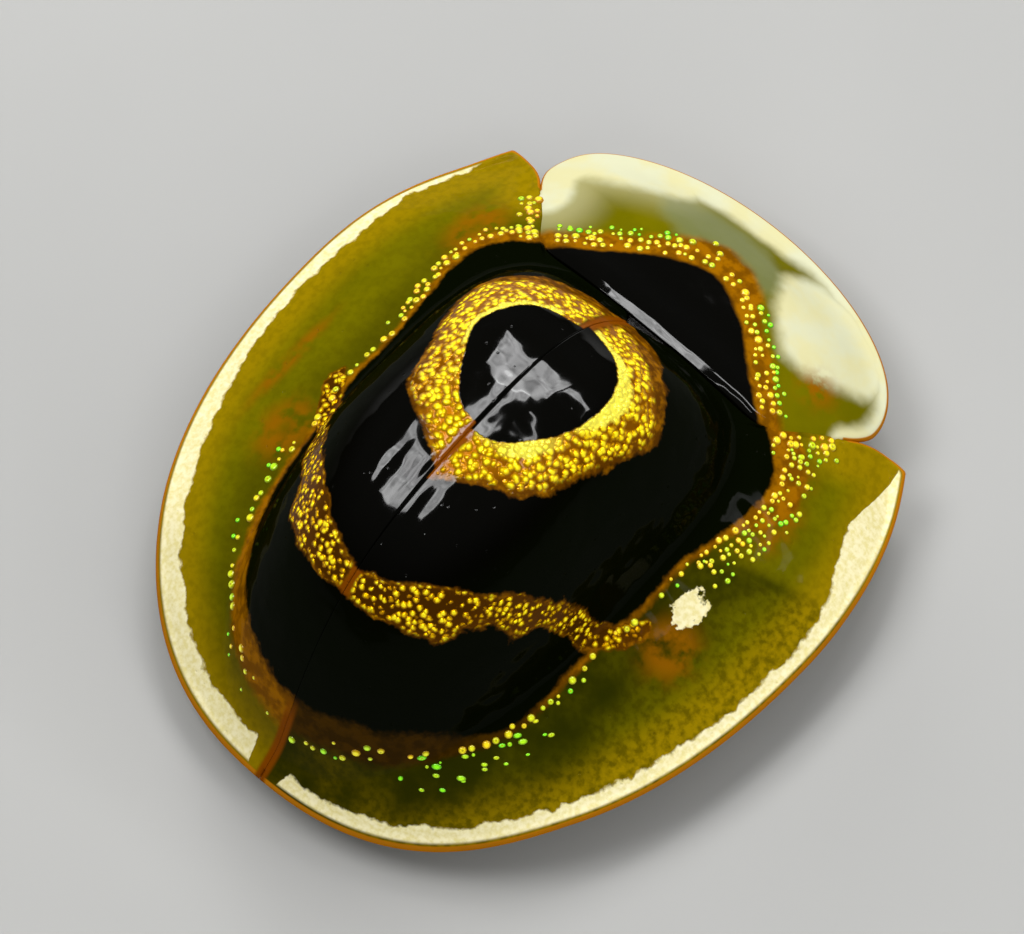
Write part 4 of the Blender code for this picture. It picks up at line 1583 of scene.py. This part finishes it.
def joined(shapes: Sequence[Shape]) -> Shape:
    """Several shapes as one.

    Args:
        shapes: closed shapes, which are freed.

    Returns:
        A new bmesh.
    """
    whole = bmesh.new()
    for shape in shapes:
        mesh = bpy.data.meshes.new("part")
        bmesh.ops.recalc_face_normals(shape, faces=shape.faces)
        shape.to_mesh(mesh)
        shape.free()
        whole.from_mesh(mesh)
        bpy.data.meshes.remove(mesh)
    return whole


def ellipsoid(middle: Sequence[float], half: Sequence[float], segments: int, rings: int) -> Shape:
    """A smooth rounded body.

    Args:
        middle: its middle.
        half: its three half sizes.
        segments: its faces round the middle.
        rings: its faces from pole to pole.

    Returns:
        A closed shape.
    """
    shape = bmesh.new()
    bmesh.ops.create_uvsphere(shape, u_segments=segments, v_segments=rings, radius=1.0)
    grow = Matrix.Translation(middle) @ Matrix.Diagonal((*half, 1.0))
    bmesh.ops.transform(shape, matrix=grow, verts=shape.verts)
    return shape


@dataclass
class Underbody:
    """The belly, the breast and the neck's breast plate, under the shell."""

    finish: Material
    belly: float = 1.08 * MM
    breast: float = 0.92 * MM
    roof_depth: float = 0.57 * MM
    thinnest: float = 0.14 * MM
    hind_end: float = 0.105
    belly_length: float = 0.393
    rings: int = 5

    def roof(self, along: Field, out: Field) -> Field:
        """Upper face, under the shell plates."""
        return FORM.under(along, out, self.roof_depth)

    def plate(
        self, name: str, node: str, start: float, end: float, width: Height, floor: Height, rows: int
    ) -> None:
        """Makes one body piece between its floor and the shell.

        Args:
            name: the piece's name.
            node: the CAD node that it replaces.
            start: hind end, as a share of the body length.
            end: front end.
            width: half width at each place along.
            floor: height of the underside.
            rows: faces along the body.
        """

        def where(u: Field, v: Field) -> tuple[Field, Field]:
            """Plan of the piece."""
            along = start + (end - start) * v
            return along, width(along, u) * (2.0 * u - 1.0)

        def bottom(along: Field, out: Field) -> Field:
            """Underside, kept below the upper face."""
            return np.minimum(floor(along, out), self.roof(along, out) - self.thinnest)

        mesh = sheet(name, 60, rows, where, self.roof, bottom)
        new_piece(name, mesh, self.finish, "body_skin", node)

    def build(self) -> None:
        """Makes the three body pieces."""

        def swell(out: Field, height: float, width: float) -> Field:
            """A low swelling across the body."""
            return height * (1.0 - np.minimum(1.0, np.abs(out) / width) ** 2)

        def belly_width(along: Field, _: Field) -> Field:
            """Half width of the belly, rounded at its hind end."""
            back = (self.hind_end + self.belly_length - along) / self.belly_length
            return 0.030 + 0.165 * np.maximum(0.0, 1.0 - back**2.6) ** 0.55

        def belly_floor(along: Field, out: Field) -> Field:
            """Underside of the belly: rings that overlap, grooves between them and a side furrow.

            Args:
                along: shares of the body length.
                out: distances from the midline, as shares of it.

            Returns:
                Heights in metres.
            """
            ring = (along - self.hind_end) / self.belly_length * self.rings
            groove = 0.055 * hump(ring - np.rint(ring), 0.0, 0.045) * (np.rint(ring) > 0.5)
            overlap = 0.035 * (ring - np.floor(ring))
            furrow = 0.05 * hump(np.abs(out) - belly_width(along, out), -0.022, 0.005)
            return self.belly - (swell(out, 0.14, 0.20) - groove - overlap - furrow) * MM

        def breast_width(along: Field, _: Field) -> Field:
            """Half width of the breast."""
            return 0.205 - 0.045 * smoothstep(0.66, 0.769, along)

        def breast_floor(along: Field, out: Field) -> Field:
            """Underside of the breast, with a seam along it, one across it and two at its sides.

            Args:
                along: shares of the body length.
                out: distances from the midline, as shares of it.

            Returns:
                Heights in metres.
            """
            seam = 0.05 * hump(out, 0.0, 0.004) * (along < 0.66)
            cross = 0.05 * hump(along + 0.12 * np.abs(out), 0.645, 0.004)
            side = 0.04 * hump(np.abs(out), 0.155, 0.005)
            return self.belly - (swell(out, 0.12, 0.21) - seam - cross - side) * MM

        def neck_width(along: Field, _: Field) -> Field:
            """Half width of the neck's breast plate."""
            return 0.165 - 0.030 * smoothstep(0.749, 0.842, along)

        def neck_floor(along: Field, out: Field) -> Field:
            """Underside of the neck's breast plate: a keel between two grooves."""
            return self.breast - (0.10 * hump(out, 0.0, 0.025) - 0.05 * hump(np.abs(out), 0.040, 0.006)) * MM

        self.plate("belly_rings", "abdomen", self.hind_end, 0.496, belly_width, belly_floor, 150)
        self.plate("breast", "thorax", 0.512, 0.747, breast_width, breast_floor, 90)
        self.plate("neck_breast", "prothorax", 0.763, 0.842, neck_width, neck_floor, 36)


@dataclass
class Head:
    """The head with its mouth parts and eyes, tucked under the neck shield."""

    skin: Material
    eye: Material
    middle: tuple[float, float, float] = (0.0, -3.29 * MM, 0.66 * MM)
    half: tuple[float, float, float] = (0.70 * MM, 0.46 * MM, 0.39 * MM)
    neck_y: float = -2.88 * MM
    brow_z: float = 0.5 * MM

    def build(self) -> None:
        """Makes the head, with a groove down its face, and the eyes."""
        skull = ellipsoid(self.middle, self.half, 64, 36)
        for vertex in skull.verts:
            back = vertex.co.y > self.neck_y
            if vertex.co.z > self.brow_z:
                vertex.co.y += 0.035 * MM * hump(vertex.co.x / MM, 0.0, 0.05)
            if back:
                vertex.co.y = self.neck_y
        shapes = [skull, ellipsoid((0.0, -3.59 * MM, 0.46 * MM), (0.32 * MM, 0.22 * MM, 0.24 * MM), 32, 20)]
        bulge = 0.045 + 0.03 * np.abs(np.sin(3.0 * math.pi * np.arange(16) / 15.0))
        for side in (1, -1):
            jaw = [(side * 0.26, -3.47, 0.38), (side * 0.24, -3.63, 0.26), (side * 0.05, -3.72, 0.21)]
            palp = [(side * 0.36, -3.39, 0.38), (side * 0.43, -3.55, 0.24), (side * 0.37, -3.68, 0.16)]
            shapes.append(limb(curve_through(jaw, 14), np.linspace(0.11, 0.035, 14), 12, 0.8))
            shapes.append(limb(curve_through(palp, 16), bulge, 10))
            socket = (side * 0.20 * MM, -3.75 * MM, 0.69 * MM)
            shapes.append(ellipsoid(socket, (0.15 * MM, 0.10 * MM, 0.13 * MM), 20, 12))
        new_piece("head_piece", mesh_of(joined(shapes), "head_piece"), self.skin, "limb_skin", "head")
        for side in Side:
            middle = (side.value * 0.60 * MM, -3.36 * MM, 0.74 * MM)
            shape = ellipsoid(middle, (0.19 * MM, 0.24 * MM, 0.25 * MM), 40, 24)
            name = f"eye_globe_{side.word}"
            new_piece(name, mesh_of(shape, name), self.eye, "eye_skin", f"eye_{side.word}")


@dataclass
class Feeler:
    """One antenna of eleven joints, laid back under the shell's edge."""

    side: Side
    finish: Material
    joints: int = 11
    length: float = 3.5
    club_from: int = 6
    profile: tuple[Pair, ...] = (
        (0.0, 0.42), (0.05, 0.60), (0.16, 0.82), (0.34, 0.95),
        (0.58, 1.0), (0.80, 0.97), (0.93, 0.82), (0.99, 0.50),
    )
    guide: tuple[tuple[float, float, float], ...] = (
        (0.20, -3.91, 0.70), (0.62, -3.91, 0.64), (1.15, -3.75, 0.57), (1.68, -3.39, 0.49),
        (2.03, -2.91, 0.41), (2.23, -2.39, 0.42), (2.36, -1.84, 0.45), (2.40, -1.39, 0.48),
    )

    def build(self) -> Object:
        """Makes the joints as one swept line, narrow between them.

        Returns:
            The feeler.
        """
        line = curve_through([(self.side.value * x, y, z) for x, y, z in self.guide], 400)
        travelled = np.concatenate([[0.0], np.cumsum([(b - a).length for a, b in zip(line, line[1:])])])
        path, radii = [], []
        for joint in range(self.joints):
            width = (0.205 if joint < self.club_from else 0.245) * (1.25 if joint == 0 else 1.0)
            for within, size in self.profile:
                if joint == self.joints - 1 and within > 0.58:
                    size *= 1.0 - 0.75 * (within - 0.58) / 0.41
                at = (joint + within) * self.length / self.joints
                path.append(Vector(tuple(np.interp(at, travelled, [p[i] for p in line]) for i in range(3))))
                radii.append(width * size)
        name = f"feeler_{self.side.word}"
        mesh = mesh_of(limb(path, radii, 16), name, 70.0)
        return new_piece(name, mesh, self.finish, "limb_skin", f"antenna_{self.side.word}")


@dataclass
class Leg:
    """One leg: hip, thigh, shin, the four joints of the foot and a pair of claws."""

    kind: str
    side: Side
    finish: Material
    spots: dict[str, tuple[tuple[float, float, float], ...]] = field(
        default_factory=lambda: {
            "fore": ((0.50, -2.19, 0.62), (1.52, -2.61, 0.50), (1.16, -1.82, 0.27), (1.98, -1.91, 0.12)),
            "middle": ((0.80, -1.04, 0.76), (2.10, -1.01, 0.66), (1.50, -0.31, 0.27), (2.36, -0.23, 0.12)),
            "hind": ((0.75, 0.31, 0.76), (2.02, 0.77, 0.66), (1.28, 1.51, 0.27), (2.02, 1.95, 0.12)),
        }
    )

    def rod(self, first: Vector, last: Vector, widths: Sequence[Pair], sag: float = 0.0) -> Shape:
        """A straight or bowed limb piece.

        Args:
            first: where it starts, in millimetres.
            last: where it ends.
            widths: a width in millimetres for each share of its way.
            sag: how far its middle is raised, in millimetres.

        Returns:
            A closed shape.
        """
        shares = np.linspace(0.0, 1.0, 26)
        path = [first.lerp(last, s) + Vector((0.0, 0.0, sag * math.sin(math.pi * s))) for s in shares]
        size = np.interp(shares, [w[0] for w in widths], [w[1] for w in widths]) / 2.0
        soft = np.convolve(np.pad(size, 2, "edge"), np.ones(5) / 5.0, "valid")
        cap = np.sqrt(np.clip(1.0 - (np.abs(2.0 * shares - 1.0)) ** 24, 0.02, 1.0))
        return limb(path, soft * cap, 18)

    def pad(self, middle: Vector, heading: float, size: tuple[float, float, float]) -> Shape:
        """A rounded foot joint that stands flat on the floor.

        Args:
            middle: its place, in millimetres.
            heading: where the foot points, as an angle round Z.
            size: its length, width and height, in millimetres.

        Returns:
            A closed shape.
        """
        shape = ellipsoid((0.0, 0.0, 0.0), (0.5, 0.5, 1.0), 28, 18)
        geom = [*shape.verts, *shape.edges, *shape.faces]
        bmesh.ops.bisect_plane(shape, geom=geom, plane_co=(0, 0, 0), plane_no=(0, 0, -1), clear_outer=True)
        bmesh.ops.contextual_create(shape, geom=[edge for edge in shape.edges if edge.is_boundary])
        place = Matrix.Translation(Vector((middle.x, middle.y, 0.0)) * MM) @ Matrix.Rotation(heading, 4, "Z")
        grow = Matrix.Diagonal((size[0] * MM, size[1] * MM, size[2] * MM, 1.0))
        bmesh.ops.transform(shape, matrix=place @ grow, verts=shape.verts)
        return shape

    def build(self) -> Object:
        """Makes the leg as one piece.

        Returns:
            The leg.
        """
        hip, knee, ankle, claw = (Vector((self.side.value * x, y, z)) for x, y, z in self.spots[self.kind])
        upper = Vector((hip.x, hip.y, 0.80 if self.kind == "fore" else 0.96))
        lower = Vector((hip.x, hip.y, hip.z - 0.24))
        shapes = [
            self.rod(upper, lower, ((0.0, 0.60), (0.4, 0.62), (1.0, 0.36))),
            self.rod(hip, knee, ((0.0, 0.30), (0.12, 0.40), (0.45, 0.50), (0.78, 0.44), (1.0, 0.34)), 0.03),
            ellipsoid(knee * MM, (0.18 * MM,) * 3, 24, 14),
            self.rod(knee, ankle, ((0.0, 0.28), (0.3, 0.34), (0.8, 0.46), (1.0, 0.42)), 0.02),
        ]
        foot = claw - ankle
        heading = math.atan2(foot.y, foot.x)
        ahead = Vector((math.cos(heading), math.sin(heading), 0.0))
        across = Vector((-math.sin(heading), math.cos(heading), 0.0))
        for share, size, spread in (
            (0.06, (0.44, 0.40, 0.25), 0.0), (0.34, (0.36, 0.45, 0.23), 0.0),
            (0.62, (0.40, 0.26, 0.20), 0.12), (0.62, (0.40, 0.26, 0.20), -0.12),
        ):
            shapes.append(self.pad(ankle.lerp(claw, share) + across * spread, heading, size))
        root = ankle.lerp(claw, 0.52)
        root.z = 0.15
        shapes.append(self.rod(root, claw, ((0.0, 0.15), (0.6, 0.19), (1.0, 0.22))))
        for hook in (-1, 1):
            bend = claw + ahead * 0.07 + across * hook * 0.09 + Vector((0.0, 0.0, 0.02))
            tip = Vector((*(claw + ahead * 0.15 + across * hook * 0.13).xy, 0.03))
            line = curve_through([claw - ahead * 0.05, bend, tip], 12)
            shapes.append(limb(line, np.linspace(0.055, 0.008, 12), 10))
        name = f"{self.kind}_leg_{self.side.word}"
        node = f"leg_{self.kind}_{self.side.word}"
        return new_piece(name, mesh_of(joined(shapes), name), self.finish, "limb_skin", node)


@dataclass
class Studio:
    """A plain pale floor, soft lights and the camera at the photograph's angle."""

    azimuth: float = math.radians(222.1)
    elevation: float = math.radians(66.5)
    target: tuple[float, float, float] = (0.448 * MM, -0.315 * MM, 0.50 * MM)
    distance: float = 180.0 * MM
    view_width: float = 11.572 * MM
    sensor: float = 36.0
    light_distance: float = 70.0 * MM

    def camera_direction(self) -> Vector:
        """The way from the beetle to the camera."""
        flat, up = math.cos(self.elevation), math.sin(self.elevation)
        return Vector((math.sin(self.azimuth) * flat, -math.cos(self.azimuth) * flat, up))

    def camera(self) -> None:
        """A long lens, level, aimed at the beetle."""
        data = bpy.data.cameras.new("camera")
        data.sensor_width = self.sensor
        data.lens = self.sensor * self.distance / self.view_width
        data.clip_start = 0.001
        data.clip_end = 10.0
        made = placed("camera", data)
        way = self.camera_direction()
        made.location = Vector(self.target) + way * self.distance
        made.rotation_euler = (-way).to_track_quat("-Z", "Y").to_euler()
        bpy.context.scene.camera = made

    def softbox(
        self, name: str, way: Sequence[float], size: Pair, radiance: float, mirrored: bool = True
    ) -> None:
        """A rectangular soft light that points at the beetle.

        Args:
            name: the light's name.
            way: direction from the beetle to the light.
            size: its sides along X and along Y, in metres.
            radiance: brightness of its face.
            mirrored: whether glossy surfaces show it.
        """
        data = bpy.data.lights.new(name, "AREA")
        data.shape = "RECTANGLE"
        data.size, data.size_y = size
        data.energy = radiance * math.pi * size[0] * size[1]
        made = placed(name, data)
        towards = Vector(way).normalized()
        aside = (Vector((1.0, 0.0, 0.0)) - towards * towards.x).normalized()
        made.location = Vector((0.0, 0.0, 2.5 * MM)) + towards * self.light_distance
        made.rotation_euler = Matrix((aside, towards.cross(aside), towards)).transposed().to_euler()
        made.visible_glossy = mirrored
        if mirrored:
            self.mottle(data)

    @staticmethod
    def mottle(light: bpy.types.AreaLight) -> None:
        """Gives a light's face soft clouds, as on a cloth diffuser.

        Args:
            light: the light.
        """
        light.use_nodes = True
        tree = light.node_tree
        clouds = tree.nodes.new("ShaderNodeTexNoise")
        clouds.inputs["Scale"].default_value = 5.0
        share = tree.nodes.new("ShaderNodeMapRange")
        for key, value in (("From Min", 0.32), ("From Max", 0.68), ("To Min", 0.55), ("To Max", 1.55)):
            share.inputs[key].default_value = value
        tree.links.new(tree.nodes.new("ShaderNodeNewGeometry").outputs["Parametric"], clouds.inputs["Vector"])
        tree.links.new(clouds.outputs["Fac"], share.inputs["Value"])
        tree.links.new(share.outputs["Result"], tree.nodes["Emission"].inputs["Strength"])

    def floor(self) -> None:
        """A wide pale floor with a faint mottle."""
        shape = bmesh.new()
        bmesh.ops.create_grid(shape, x_segments=8, y_segments=8, size=0.30)
        mesh = bpy.data.meshes.new("floor")
        shape.to_mesh(mesh)
        shape.free()
        paint = Paint("floor_finish")
        colour = paint.mix(paint.noise(6.0, 3.0), (0.42, 0.42, 0.408), (0.47, 0.47, 0.457))
        mesh.materials.append(paint.finish(Base_Color=colour, Roughness=0.75))
        placed("floor", mesh)

    def build(self) -> None:
        """Sets up the floor, the lights, the surroundings and the camera."""
        self.floor()
        self.camera()
        for light in (
            ("key_box", (0.26, -0.52, 0.81), (0.034, 0.024), 7.5),
            ("stem_box", (0.26, -0.22, 0.94), (0.008, 0.026), 7.5),
            ("rear_box", (0.37, 0.22, 0.90), (0.032, 0.036), 6.5),
            ("front_strip", (-0.32, -0.57, 0.76), (0.044, 0.006), 7.0),
            ("side_strip", (-0.28, -0.22, 0.93), (0.046, 0.003), 6.0),
            ("low_fill", (0.80, -0.55, 0.24), (0.030, 0.020), 7.0, False),
            ("rear_fill", (-0.55, 0.55, 0.63), (0.040, 0.040), 2.2, False),
            ("right_fill", (-0.75, -0.25, 0.61), (0.040, 0.040), 1.8, False),
        ):
            self.softbox(*light)
        scene = bpy.context.scene
        scene.world = bpy.data.worlds.new("surroundings")
        scene.world.use_nodes = True
        background = scene.world.node_tree.nodes["Background"]
        background.inputs["Color"].default_value = (0.90, 0.93, 1.0, 1.0)
        background.inputs["Strength"].default_value = 0.05
        scene.view_settings.view_transform = "Standard"
        scene.view_settings.look = "None"


def main() -> None:
    """Builds and dresses the whole beetle."""
    logging.basicConfig(level=logging.INFO, format="%(message)s")
    shell = WingCaseFinish().material()
    body, skin, plate = (
        SkinFinish(*look).material()
        for look in (
            ("body_finish", (0.055, 0.030, 0.010), (0.016, 0.010, 0.005), 0.38, 0.07, 0.006),
            ("limb_finish", (0.50, 0.30, 0.055), (0.26, 0.12, 0.018), 0.30, 0.04, 0.003),
            ("plate_finish", (0.004, 0.003, 0.002), (0.002, 0.002, 0.0015), 0.16, 0.09, 0.002),
        )
    )
    for side in Side:
        WingCase(side, shell).build()
    NeckShield(ShieldFinish().material()).build()
    Scutellum(plate).build()
    BorderSpots(DropFinish().material()).build()
    Underbody(body).build()
    Head(skin, EyeFinish().material()).build()
    feeler = FeelerFinish().material()
    for side in Side:
        Feeler(side, feeler).build()
        for kind in ("fore", "middle", "hind"):
            Leg(kind, side, skin).build()
    Studio().build()


if __name__ == "__main__":
    main()
